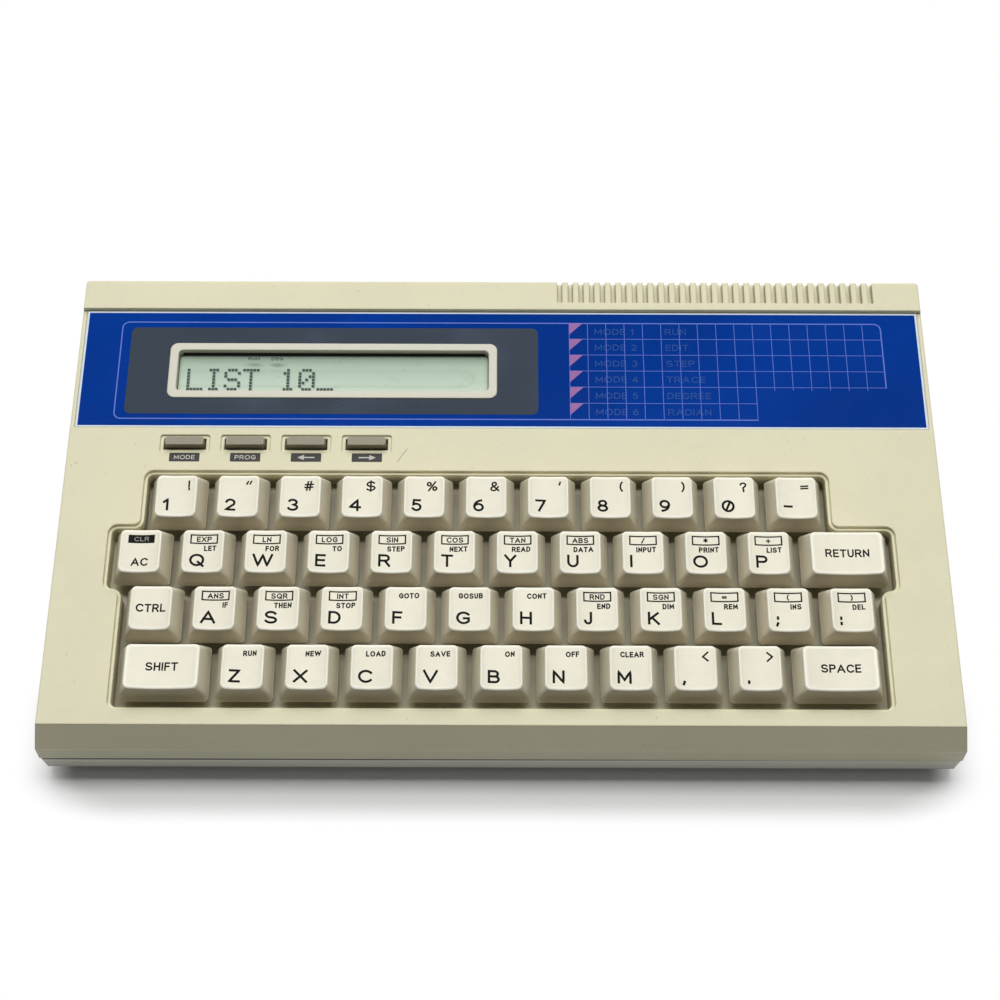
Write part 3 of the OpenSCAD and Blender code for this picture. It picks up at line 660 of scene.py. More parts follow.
@dataclass(frozen=True)
class Metal:
    """Bare or plated metal with fine scratches along x."""

    name: str
    colour: Colour
    roughness: float = 0.3

    def material(self) -> bpy.types.Material:
        """The finished material, with noise drawn out along x as its scratches.

        Returns:
            The material.
        """
        graph = Graph(self.name)
        streaks = graph.noise(0.15, 3.0, (20.0, 1.0, 1.0))
        colour = graph.mix(graph.noise(1.2, 2.0).over(0.35, 0.65), toned(self.colour, 0.78), self.colour)
        normal = graph.soft_edges(0.08, streaks, 0.15, 0.01)
        return graph.finish(Base_Color=colour, Roughness=streaks * 0.3 + (self.roughness - 0.15),
                            Metallic=1.0, Normal=normal)


@dataclass(frozen=True)
class ClearPanel:
    """Clear acrylic printed on its back: deep colour, faint scratches, and a bare margin with a painted highlight.
    """

    name: str
    colour: Colour
    # edge: the colour of margin and bevels, partly a painted highlight
    edge: Colour
    dust: Colour
    margin: float = 0.9

    def material(self, deck: Deck, low: np.ndarray, high: np.ndarray) -> bpy.types.Material:
        """The finished material for a panel between two deck corners.

        The margin is where the distance to the nearest side, min(x - x0, x1 - x, y - y0, y1 - y), is
        less than the margin's width.

        Args:
            deck: the deck's frame.
            low, high: the panel's corners.

        Returns:
            The material.
        """
        graph = Graph(self.name)
        x, y, z = graph.deck_axes(deck)
        inside = (x - low[0]).math("MINIMUM", high[0] - x)
        inside = inside.math("MINIMUM", y - low[1]).math("MINIMUM", high[1] - y)
        cloud = graph.noise(60.0, 2.0).over(0.35, 0.65)
        colour = graph.mix(cloud, toned(self.colour, 1.1), toned(self.colour, 0.9))
        colour = graph.mix(graph.noise(0.45, 1.0).over(0.79, 0.82) * 0.4, colour, self.dust)
        # the bare margin: unprinted, and paler than bare acrylic by a painted highlight
        colour = graph.mix(inside.over(self.margin, self.margin - 0.1), colour, self.edge)
        # painted highlight on the bevels and sides below the top face
        colour = graph.mix(z.over(high[2] - 0.03, high[2] - 0.12), colour, self.edge)
        scratch = graph.noise(0.25, 3.0, (30.0, 1.0, 1.0)).over(0.66, 0.74)
        rough = graph.noise(9.0, 2.0) * 0.08 + scratch * 0.1 + 0.08
        return graph.finish(Base_Color=colour, Roughness=rough, Specular_Ior_Level=0.18)


@dataclass(frozen=True)
class LiquidCrystal:
    """Grey-green reflective display: painted shade darker to the top, a faint smear and a fine texture.

    The smear's sizes are its distances from the glass's right, front and back edge, and the radius of
    its end. The gloom is how far from the back edge the painted shadow fades and where it is full.
    """

    name: str
    colour: Colour
    shade_colour: Colour
    smear: Tuple[float, float, float, float] = (4.4, 2.6, 5.8, 3.2)
    gloom: Tuple[float, float] = (2.2, 0.2)

    def material(self, deck: Deck, low: np.ndarray, high: np.ndarray) -> bpy.types.Material:
        """The finished material for a face between two deck corners.

        The smear's edge is where the distance from a line with a round end, the root of the sum of the
        squares along and across it, is the end's radius, give or take some noise.

        Args:
            deck: the deck's frame.
            low, high: the face's corners.

        Returns:
            The material.
        """
        graph = Graph(self.name)
        x, y, _ = graph.deck_axes(deck)
        # painted shade from the ring: darker towards the back edge
        fall = graph.noise(14.0, 2.0) * 3.0 + y
        colour = graph.mix(fall.over(high[1] + 0.5, low[1] + 2.5), self.shade_colour, self.colour)
        # painted shadow behind the glass, darkest at the back edge
        colour = graph.mix((high[1] - y).over(*self.gloom) * 0.8, colour, toned(self.shade_colour, 0.22))
        right, foot, head, radius = self.smear
        foot, head = low[1] + foot, high[1] - head
        along = (x - (high[0] - right - radius)).math("MAXIMUM", 0.0)
        across = (abs(y - (foot + head) / 2) - ((head - foot) / 2 - radius)).math("MAXIMUM", 0.0)
        wobble = graph.noise(9.0, 3.0) * 0.9 - 0.45
        distance = (along * along + across * across).math("SQRT") + wobble
        rim = distance.over(radius - 1.5, radius - 0.2) * distance.over(radius + 0.5, radius)
        colour = graph.mix(rim * 0.4, colour, self.shade_colour)
        colour = graph.mix(graph.noise(0.35, 2.0).over(0.5, 0.75) * 0.2, colour, toned(self.colour, 1.08))
        rough = graph.noise(5.0, 2.0) * 0.15 + 0.22
        return graph.finish(Base_Color=colour, Roughness=rough, Specular_Ior_Level=0.4)


@dataclass(frozen=True)
class CircuitBoard:
    """Green solder mask under, and black parts and sockets above the board's face."""

    name: str
    mask: Colour
    part: Colour

    def material(self, deck: Deck, face: float) -> bpy.types.Material:
        """The finished material, with streaks of track under the mask.

        Args:
            deck: the deck's frame.
            face: the level of the board's upper face.

        Returns:
            The material.
        """
        graph = Graph(self.name)
        _, _, z = graph.deck_axes(deck)
        tracks = graph.noise(1.6, 2.0, (4.0, 1.0, 1.0)).over(0.47, 0.53)
        colour = graph.mix(tracks, toned(self.mask, 0.6), self.mask)
        colour = graph.mix(z.over(face + 0.05, face + 0.15), colour, self.part)
        rough = graph.noise(2.0, 2.0) * 0.25 + 0.3
        return graph.finish(Base_Color=colour, Roughness=rough, Normal=graph.soft_edges(0.15))


# ---------- Meshes ----------

def spread(low: float, high: float, step: float) -> np.ndarray:
    """Even places from low to high, both included, no more than a step apart."""
    return np.linspace(low, high, max(1, math.ceil(abs(high - low) / step)) + 1)


def lift(outline: np.ndarray, level: Union[float, np.ndarray]) -> np.ndarray:
    """An outline of points (x, y) set at a level, or each point at its own."""
    return np.column_stack([outline, np.broadcast_to(level, len(outline))])


def arc(x: float, y: float, rx: float, ry: float, start: float, end: float) -> List[Point]:
    """Points (x + rx cos a, y + ry sin a) for the angle a from start to end, in degrees."""
    angles = np.radians(spread(start, end, 15.0))
    return list(zip(x + rx * np.cos(angles), y + ry * np.sin(angles)))


def round_rect(x0: float, x1: float, y0: float, y1: float, radius: float,
               pieces: Tuple[int, int] = (1, 1), turns: int = 6) -> np.ndarray:
    """Anticlockwise outline of a rectangle with quarter circles at its corners.

    Args:
        x0, x1, y0, y1: the rectangle's sides.
        radius: the corner circles' radius.
        pieces: how many pieces the straights along x and along y have.
        turns: how many pieces each quarter circle has.

    Returns:
        Points as an array (n, 2).
    """
    corners = ((x1 - radius, y1 - radius), (x0 + radius, y1 - radius), (x0 + radius, y0 + radius),
               (x1 - radius, y0 + radius))
    outline = []
    for index, (x, y) in enumerate(corners):
        angles = (index + np.linspace(0.0, 1.0, turns + 1)) * math.pi / 2
        turn = np.column_stack([x + radius * np.cos(angles), y + radius * np.sin(angles)])
        x, y = corners[(index + 1) % 4]
        angle = (index + 1) * math.pi / 2
        ahead = np.array([x + radius * math.cos(angle), y + radius * math.sin(angle)])
        share = np.linspace(0.0, 1.0, pieces[index % 2] + 1)[1:-1, None]
        outline += [turn, turn[-1] + (ahead - turn[-1]) * share]
    return np.concatenate(outline)


def centred_rect(x: float, y: float, width: float, depth: float, radius: float,
                 turns: int = 2) -> np.ndarray:
    """Outline of a rectangle with round corners by its middle and size."""
    return round_rect(x - width / 2, x + width / 2, y - depth / 2, y + depth / 2, radius, turns=turns)


def ribbon(path: np.ndarray, width: float, closed: bool) -> Tuple[np.ndarray, np.ndarray]:
    """Edges of a line of constant width.

    At each point the edge stands width / 2 off along the mean of the two sides' normals, divided by
    the cosine of half the turn, so that corners are mitred, up to a sharp turn.

    Args:
        path: points (x, y) of its middle.
        width: its width.
        closed: joins its end to its start.

    Returns:
        The left and the right edge.
    """
    after = np.roll(path, -1, 0) - path
    if not closed:
        after[-1] = after[-2]
    after = after / np.linalg.norm(after, axis=1, keepdims=True)
    before = np.roll(after, 1, 0)
    if not closed:
        before[0] = after[0]
    normal = np.column_stack([-(after + before)[:, 1], (after + before)[:, 0]])
    normal = normal / np.maximum(np.linalg.norm(normal, axis=1, keepdims=True), 1e-6)
    cosine = np.abs(normal[:, 1] * after[:, 0] - normal[:, 0] * after[:, 1])
    offset = normal * (width / 2 / np.maximum(cosine, SHARPEST))[:, None]
    return path + offset, path - offset


def resample(path: Sequence[Point], step: float, closed: bool) -> np.ndarray:
    """Cuts each straight of a path into equal pieces.

    Args:
        path: points (x, y).
        step: the longest piece.
        closed: says that a straight joins the end to the start.

    Returns:
        Points as an array (n, 2).
    """
    points = np.array(path, float)
    ends = np.roll(points, -1, 0) if closed else points[1:]
    parts = []
    for start, end in zip(points, ends):
        length = float(np.linalg.norm(end - start))
        share = spread(0.0, length, step)[:-1, None] / length
        parts.append(start + (end - start) * share)
    if not closed:
        parts.append(points[-1:])
    return np.concatenate(parts)


@dataclass
class Shape:
    """Points in deck millimetres and faces that grow until they become one piece."""

    points: List[np.ndarray] = field(default_factory=list)
    faces: List[List[int]] = field(default_factory=list)
    values: List[np.ndarray] = field(default_factory=list)
    count: int = 0

    def loft(self, rings: Sequence[np.ndarray], closed: bool = False,
             values: Optional[Sequence[float]] = None) -> None:
        """Skins rings of equal length; face (k, i) joins side i of ring k to side i of ring k + 1.

        Args:
            rings: rings of points, anticlockwise seen against the way that they follow each other.
            closed: joins the last ring to the first. Otherwise both end rings are filled.
            values: a number for each ring, which its points carry as the attribute "ring".
        """
        stack = np.array(rings, float)
        self.values.append(np.repeat(np.zeros(len(stack)) if values is None else values, stack.shape[1]))
        number = np.arange(stack.shape[0] * stack.shape[1]).reshape(stack.shape[:2]) + self.count
        if not closed:
            self.faces += [number[0, ::-1].tolist(), number[-1].tolist()]
        ahead = np.roll(number, -1, 0) if closed else number[1:]
        here = number if closed else number[:-1]
        quads = np.stack([here, np.roll(here, -1, 1), np.roll(ahead, -1, 1), ahead], -1)
        self.faces += quads.reshape(-1, 4).tolist()
        self.points.append(stack.reshape(-1, 3))
        self.count += number.size

    def slab(self, outline: np.ndarray, low: float, high: float) -> None:
        """Plate between two levels with an anticlockwise outline."""
        self.loft([lift(outline, level) for level in (low, high)])

    def frame(self, outer: np.ndarray, inner: np.ndarray, low: float, high: float) -> None:
        """Flat closed frame between an outer and an inner outline and two levels."""
        sides = ((outer, low), (outer, high), (inner, high), (inner, low))
        self.loft([lift(line, level) for line, level in sides], True)

    def stroke(self, path: Sequence[Point], width: float, closed: bool, surface: Callable, proud: float,
               step: float = 0.8) -> None:
        """Thin raised line that follows a surface.

        Args:
            path: points (x, y) of its middle.
            width: its width.
            closed: joins its end to its start. An open line is made longer by half its width at each end.
            surface: gives the surface's level at arrays of x and y.
            proud: how far it stands above the surface. It also reaches a little into it.
            step: the longest straight piece.
        """
        points = np.array(path, float)
        if not closed:
            for end, beside in ((0, 1), (-1, -2)):
                away = points[end] - points[beside]
                points[end] += away / np.linalg.norm(away) * width / 2
        left, right = ribbon(resample(points, step, closed), width, closed)
        sides = [(right, -SUNK), (left, -SUNK), (left, proud), (right, proud)]
        rings = [lift(edge, surface(edge[:, 0], edge[:, 1]) + up) for edge, up in sides]
        self.loft(np.stack(rings, 1), closed)

    def turned(self, profile: Sequence[Point], x: float, z: float, closed: bool = False,
               steps: int = 24) -> None:
        """Solid of revolution about an axis along y.

        Args:
            profile: radius r and place y of each ring, whose points are (x + r sin a, y, z + r cos a).
            x, z: the axis.
            closed: joins the last ring to the first, for a sleeve.
            steps: how many points a ring has.
        """
        angles = np.arange(steps) * 2 * math.pi / steps
        rings = [np.column_stack([x + r * np.sin(angles), np.full(steps, y), z + r * np.cos(angles)])
                 for r, y in profile]
        self.loft(rings, closed)

    def shift(self, x: float, y: float, z: float = 0.0) -> "Shape":
        """Moves everything made so far and gives the shape back."""
        self.points = [points + np.array([x, y, z]) for points in self.points]
        return self


@dataclass
class Bench:
    """Makes pieces out of shapes and counts them."""

    deck: Deck
    made: int = 0
    triangles: int = 0

    def piece(self, name: str, shape: Shape, material: bpy.types.Material, body: str, slot: str,
              smooth: Optional[float] = None, on_deck: bool = True) -> bpy.types.Object:
        """Turns a shape into an object that rides on a body.

        Args:
            name: the piece's name.
            shape: its points and faces, in millimetres.
            material: its finish.
            body: the CAD body that carries it.
            slot: the name of a material slot of the record; not used.
            smooth: the angle in degrees under which faces are shaded as one, or None for flat faces.
            on_deck: says that the points are in the deck's frame, and otherwise in the object's.

        Returns:
            The object.
        """
        points = np.concatenate(shape.points)
        points = self.deck.to_object(points) if on_deck else points * MM
        mesh = bpy.data.meshes.new(name)
        mesh.from_pydata(points.tolist(), [], shape.faces)
        if smooth is not None:
            mesh.polygons.foreach_set("use_smooth", np.ones(len(mesh.polygons), bool))
            mesh.set_sharp_from_angle(angle=math.radians(smooth))
        values = np.concatenate(shape.values)
        if values.any():
            mesh.attributes.new("ring", "FLOAT", "POINT").data.foreach_set("value", values)
        mesh.update()
        made = bpy.data.objects.new(name, mesh)
        bpy.context.scene.collection.objects.link(made)
        made.data.materials.append(material)
        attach(made, body)
        self.made += 1
        self.triangles += sum(len(face) - 2 for face in shape.faces)
        LOG.info("%s: %d faces on %s", name, len(shape.faces), body)
        return made


# ---------- Lettering ----------

CIRCLE = (0.0, 360.0)
DOT = [(0.04, -0.01), (0.04, 0.11)]


def curve(*parts: Union[Point, List[Point]]) -> List[Point]:
    """One line out of single points and runs of points."""
    return [point for part in parts for point in (part if isinstance(part, list) else [part])]


def moved(path: List[Point], x: float, y: float = 0.0) -> List[Point]:
    """A line moved sideways and up."""
    return [(px + x, py + y) for px, py in path]


def ring(x: float, y: float, rx: float, ry: float) -> List[Point]:
    """A full ellipse that starts and ends at its right side."""
    return arc(x, y, rx, ry, *CIRCLE)


S_CURVE = curve(arc(0.45, 0.745, 0.41, 0.255, 28, 270), arc(0.45, 0.245, 0.45, 0.245, 90, -155)[1:])
P_CURVE = curve((0.0, 0.0), (0.0, 1.0), (0.5, 1.0), arc(0.5, 0.74, 0.31, 0.26, 90, -90)[1:], (0.0, 0.48))
HOOK = arc(0.3, 0.75, 0.29, 0.25, 165, -62)

# Middle lines of the signs, on a height of 1. A line that ends where it starts is a closed one
SIGNS: Dict[str, List[List[Point]]] = {
    "A": [[(0, 0), (0.54, 1), (1.08, 0)], [(0.17, 0.32), (0.91, 0.32)]],
    "B": [curve((0, 0), (0, 1), (0.48, 1), arc(0.48, 0.76, 0.27, 0.24, 90, -90)[1:], (0, 0.52)),
          curve((0.5, 0.52), arc(0.52, 0.26, 0.3, 0.26, 90, -90)[1:], (0, 0))],
    "C": [arc(0.56, 0.5, 0.56, 0.5, 42, 318)],
    "D": [curve((0, 0), (0, 1), (0.36, 1), arc(0.36, 0.5, 0.5, 0.5, 90, -90)[1:], (0, 0))],
    "E": [[(0.7, 1), (0, 1), (0, 0), (0.7, 0)], [(0, 0.52), (0.64, 0.52)]],
    "F": [[(0.66, 1), (0, 1), (0, 0)], [(0, 0.52), (0.58, 0.52)]],
    "G": [curve(arc(0.54, 0.5, 0.54, 0.5, 42, 310), (0.98, 0.2), (0.98, 0.47), (0.58, 0.47))],
    "H": [[(0, 0), (0, 1)], [(0.82, 0), (0.82, 1)], [(0, 0.52), (0.82, 0.52)]],
    "I": [[(0, 0), (0, 1)]],
    "J": [curve((0.5, 1), (0.5, 0.28), arc(0.25, 0.27, 0.25, 0.27, 0, -175)[1:])],
    "K": [[(0, 0), (0, 1)], [(0.76, 1), (0, 0.36)], [(0.26, 0.58), (0.82, 0)]],
    "L": [[(0, 1), (0, 0), (0.66, 0)]],
    "M": [[(0, 0), (0, 1), (0.5, 0.24), (1, 1), (1, 0)]],
    "N": [[(0, 0), (0, 1), (0.82, 0), (0.82, 1)]],
    "O": [ring(0.55, 0.5, 0.55, 0.5)],
    "P": [P_CURVE],
    "Q": [ring(0.55, 0.5, 0.55, 0.5), [(0.66, 0.32), (1.08, -0.06)]],
    "R": [P_CURVE, [(0.48, 0.48), (0.85, 0)]],
    "S": [S_CURVE],
    "T": [[(0, 1), (0.82, 1)], [(0.41, 1), (0.41, 0)]],
    "U": [curve((0, 1), (0, 0.4), arc(0.4, 0.4, 0.4, 0.4, 180, 360)[1:-1], (0.8, 0.4), (0.8, 1))],
    "V": [[(0, 1), (0.53, 0), (1.06, 1)]],
    "W": [[(0, 1), (0.4, 0), (0.8, 1), (1.2, 0), (1.6, 1)]],
    "X": [[(0, 0), (1.0, 1)], [(0, 1), (1.0, 0)]],
    "Y": [[(0, 1), (0.43, 0.48), (0.86, 1)], [(0.43, 0.48), (0.43, 0)]],
    "Z": [[(0.03, 1), (0.78, 1), (0, 0), (0.8, 0)]],
    "0": [ring(0.48, 0.5, 0.48, 0.5), [(0.3, 0.08), (0.66, 0.92)]],
    "1": [[(0, 0.72), (0.3, 1), (0.3, 0)]],
    "2": [curve(arc(0.37, 0.69, 0.35, 0.31, 165, -35), (0, 0), (0.74, 0))],
    "3": [curve(arc(0.4, 0.755, 0.34, 0.245, 152, -90), arc(0.4, 0.255, 0.4, 0.255, 90, -152)[1:])],
    "4": [[(0.64, 0), (0.64, 1), (0, 0.28), (0.86, 0.28)]],
    "5": [curve((0.66, 1), (0.14, 1), (0.09, 0.54), arc(0.36, 0.32, 0.36, 0.32, 126, -150))],
    "6": [ring(0.37, 0.32, 0.37, 0.32), curve((0.58, 1), arc(0.6, 0.36, 0.6, 0.62, 110, 172))],
    "7": [[(0, 1), (0.74, 1), (0.24, 0)]],
    "8": [ring(0.37, 0.755, 0.3, 0.245), ring(0.37, 0.255, 0.37, 0.255)],
    "9": [ring(0.37, 0.68, 0.37, 0.32), curve(arc(0.14, 0.64, 0.6, 0.62, -8, -70), (0.16, 0))],
    "!": [[(0, 1), (0, 0.32)], DOT],
    '"': [[(0.14, 1.0), (0, 0.72)], [(0.5, 1.0), (0.36, 0.72)]],
    "#": [[(0.2, 0), (0.34, 1)], [(0.54, 0), (0.68, 1)], [(0, 0.33), (0.84, 0.33)],
          [(0.05, 0.67), (0.9, 0.67)]],
    "$": [S_CURVE, [(0.45, -0.1), (0.45, 1.1)]],
    "%": [ring(0.2, 0.78, 0.2, 0.2), ring(0.84, 0.21, 0.2, 0.2), [(0.16, 0), (0.88, 1)]],
    "&": [curve((0.86, 0), (0.2, 0.64), arc(0.39, 0.79, 0.22, 0.21, 215, -35), (0.16, 0.42),
                arc(0.33, 0.25, 0.3, 0.25, 150, 335), (0.82, 0.44))],
    "'": [[(0.1, 1), (0, 0.72)]],
    "(": [arc(0.5, 0.5, 0.5, 0.66, 128, 232)],
    ")": [arc(-0.2, 0.5, 0.5, 0.66, 52, -52)],
    "?": [curve(HOOK, (0.3, 0.42), (0.3, 0.3)), moved(DOT, 0.3)],
    "=": [[(0, 0.64), (0.7, 0.64)], [(0, 0.36), (0.7, 0.36)]],
    "-": [[(0, 0.48), (0.6, 0.48)]],
    "+": [[(0, 0.5), (0.7, 0.5)], [(0.35, 0.15), (0.35, 0.85)]],
    "/": [[(0, 0), (0.5, 1)]],
    "*": [[(0.3, 0.25), (0.3, 0.95)], [(0, 0.43), (0.6, 0.77)], [(0, 0.77), (0.6, 0.43)]],
    ",": [[(0.08, 0.06), (0, -0.16)]],
    ".": [DOT],
    ";": [[(0.08, 0.06), (0, -0.16)], moved(DOT, 0.06, 0.5)],
    ":": [DOT, moved(DOT, 0.0, 0.5)],
    "<": [[(0.52, 0.96), (0, 0.5), (0.52, 0.04)]],
    ">": [[(0, 0.96), (0.52, 0.5), (0, 0.04)]],
    "←": [[(1.1, 0.5), (3.3, 0.5)], [(1.1, 0.92), (0.1, 0.5), (1.1, 0.08), (1.1, 0.92)],
          [(0.96, 0.68), (0.5, 0.5), (0.96, 0.32), (0.96, 0.68)]],
    "→": [[(0, 0.5), (2.2, 0.5)], [(2.2, 0.92), (3.2, 0.5), (2.2, 0.08), (2.2, 0.92)],
          [(2.34, 0.68), (2.8, 0.5), (2.34, 0.32), (2.34, 0.68)]],
}


class Side(Enum):
    """Which point of a word its place gives."""

    LEFT = 0.0
    MIDDLE = 0.5
    RIGHT = 1.0


@dataclass(frozen=True)
class Lettering:
    """Signs drawn as thin raised lines, by their height and stroke, and by gap and width as shares."""

    height: float
    stroke: float
    gap: float = 0.16
    wide: float = 1.0

    def lines(self, text: str) -> Tuple[List[List[Point]], float]:
        """Middle lines of a word whose lower left corner is at the origin.

        Args:
            text: the signs.

        Returns:
            The lines, and the word's width.
        """
        scale = self.height - self.stroke
        found, x = [], 0.0
        for sign in text:
            if sign == " ":
                x += 0.5 * self.height
                continue
            lines = SIGNS[sign]
            inset, across = self.stroke / 2, self.wide * scale
            width = max(point[0] for line in lines for point in line)
            found += [[(x + inset + px * across, inset + py * scale) for px, py in line] for line in lines]
            x += width * across + self.stroke + self.gap * self.height
        return found, x - self.gap * self.height

    def write(self, shape: Shape, text: str, x: float, y: float, side: Side = Side.LEFT,
              surface: Optional[Callable] = None, proud: float = PROUD) -> None:
        """Adds a word to a shape.

        Args:
            shape: the shape that the strokes go into.
            text: the signs.
            x, y: place of the word's baseline at the side that is named.
            side: which of its sides x is for.
            surface: gives the level at arrays of x and y, or None for level 0.
            proud: how far the strokes stand above the surface.
        """
        level = surface or (lambda across, along: np.zeros_like(across))
        lines, width = self.lines(text)
        x -= side.value * width
        for line in lines:
            closed = len(line) > 3 and math.dist(line[0], line[-1]) < 1e-6
            path = moved(line[:-1] if closed else line, x, y)
            shape.stroke(path, self.stroke, closed, level, proud)


# ---------- Keyboard ----------

@dataclass(frozen=True)
class Legend:
    """What is printed on a key: a sign at the front, and what stands behind it."""

    main: str
    second: str = ""
    boxed: str = ""
    word: str = ""
    filled: bool = False


LEGENDS: Dict[str, Legend] = {
    "1": Legend("1", "!"), "2": Legend("2", '"'), "3": Legend("3", "#"), "4": Legend("4", "$"),
    "5": Legend("5", "%"), "6": Legend("6", "&"), "7": Legend("7", "'"), "8": Legend("8", "("),
    "9": Legend("9", ")"), "0": Legend("0", "?"), "minus": Legend("-", "="),
    "ac": Legend("AC", boxed="CLR", filled=True), "q": Legend("Q", boxed="EXP", word="LET"),
    "w": Legend("W", boxed="LN", word="FOR"), "e": Legend("E", boxed="LOG", word="TO"),
    "r": Legend("R", boxed="SIN", word="STEP"), "t": Legend("T", boxed="COS", word="NEXT"),
    "y": Legend("Y", boxed="TAN", word="READ"), "u": Legend("U", boxed="ABS", word="DATA"),
    "i": Legend("I", boxed="/", word="INPUT"), "o": Legend("O", boxed="*", word="PRINT"),
    "p": Legend("P", boxed="+", word="LIST"), "return": Legend("RETURN"), "ctrl": Legend("CTRL"),
    "a": Legend("A", boxed="ANS", word="IF"), "s": Legend("S", boxed="SQR", word="THEN"),
    "d": Legend("D", boxed="INT", word="STOP"), "f": Legend("F", word="GOTO"),
    "g": Legend("G", word="GOSUB"), "h": Legend("H", word="CONT"),
    "j": Legend("J", boxed="RND", word="END"), "k": Legend("K", boxed="SGN", word="DIM"),
    "l": Legend("L", boxed="=", word="REM"), "semicolon": Legend(";", boxed="(", word="INS"),
    "colon": Legend(":", boxed=")", word="DEL"), "shift": Legend("SHIFT"), "z": Legend("Z", word="RUN"),
    "x": Legend("X", word="NEW"), "c": Legend("C", word="LOAD"), "v": Legend("V", word="SAVE"),
    "b": Legend("B", word="ON"), "n": Legend("N", word="OFF"), "m": Legend("M", word="CLEAR"),
    "comma": Legend(",", "<"), "period": Legend(".", ">"), "space": Legend("SPACE"),
}


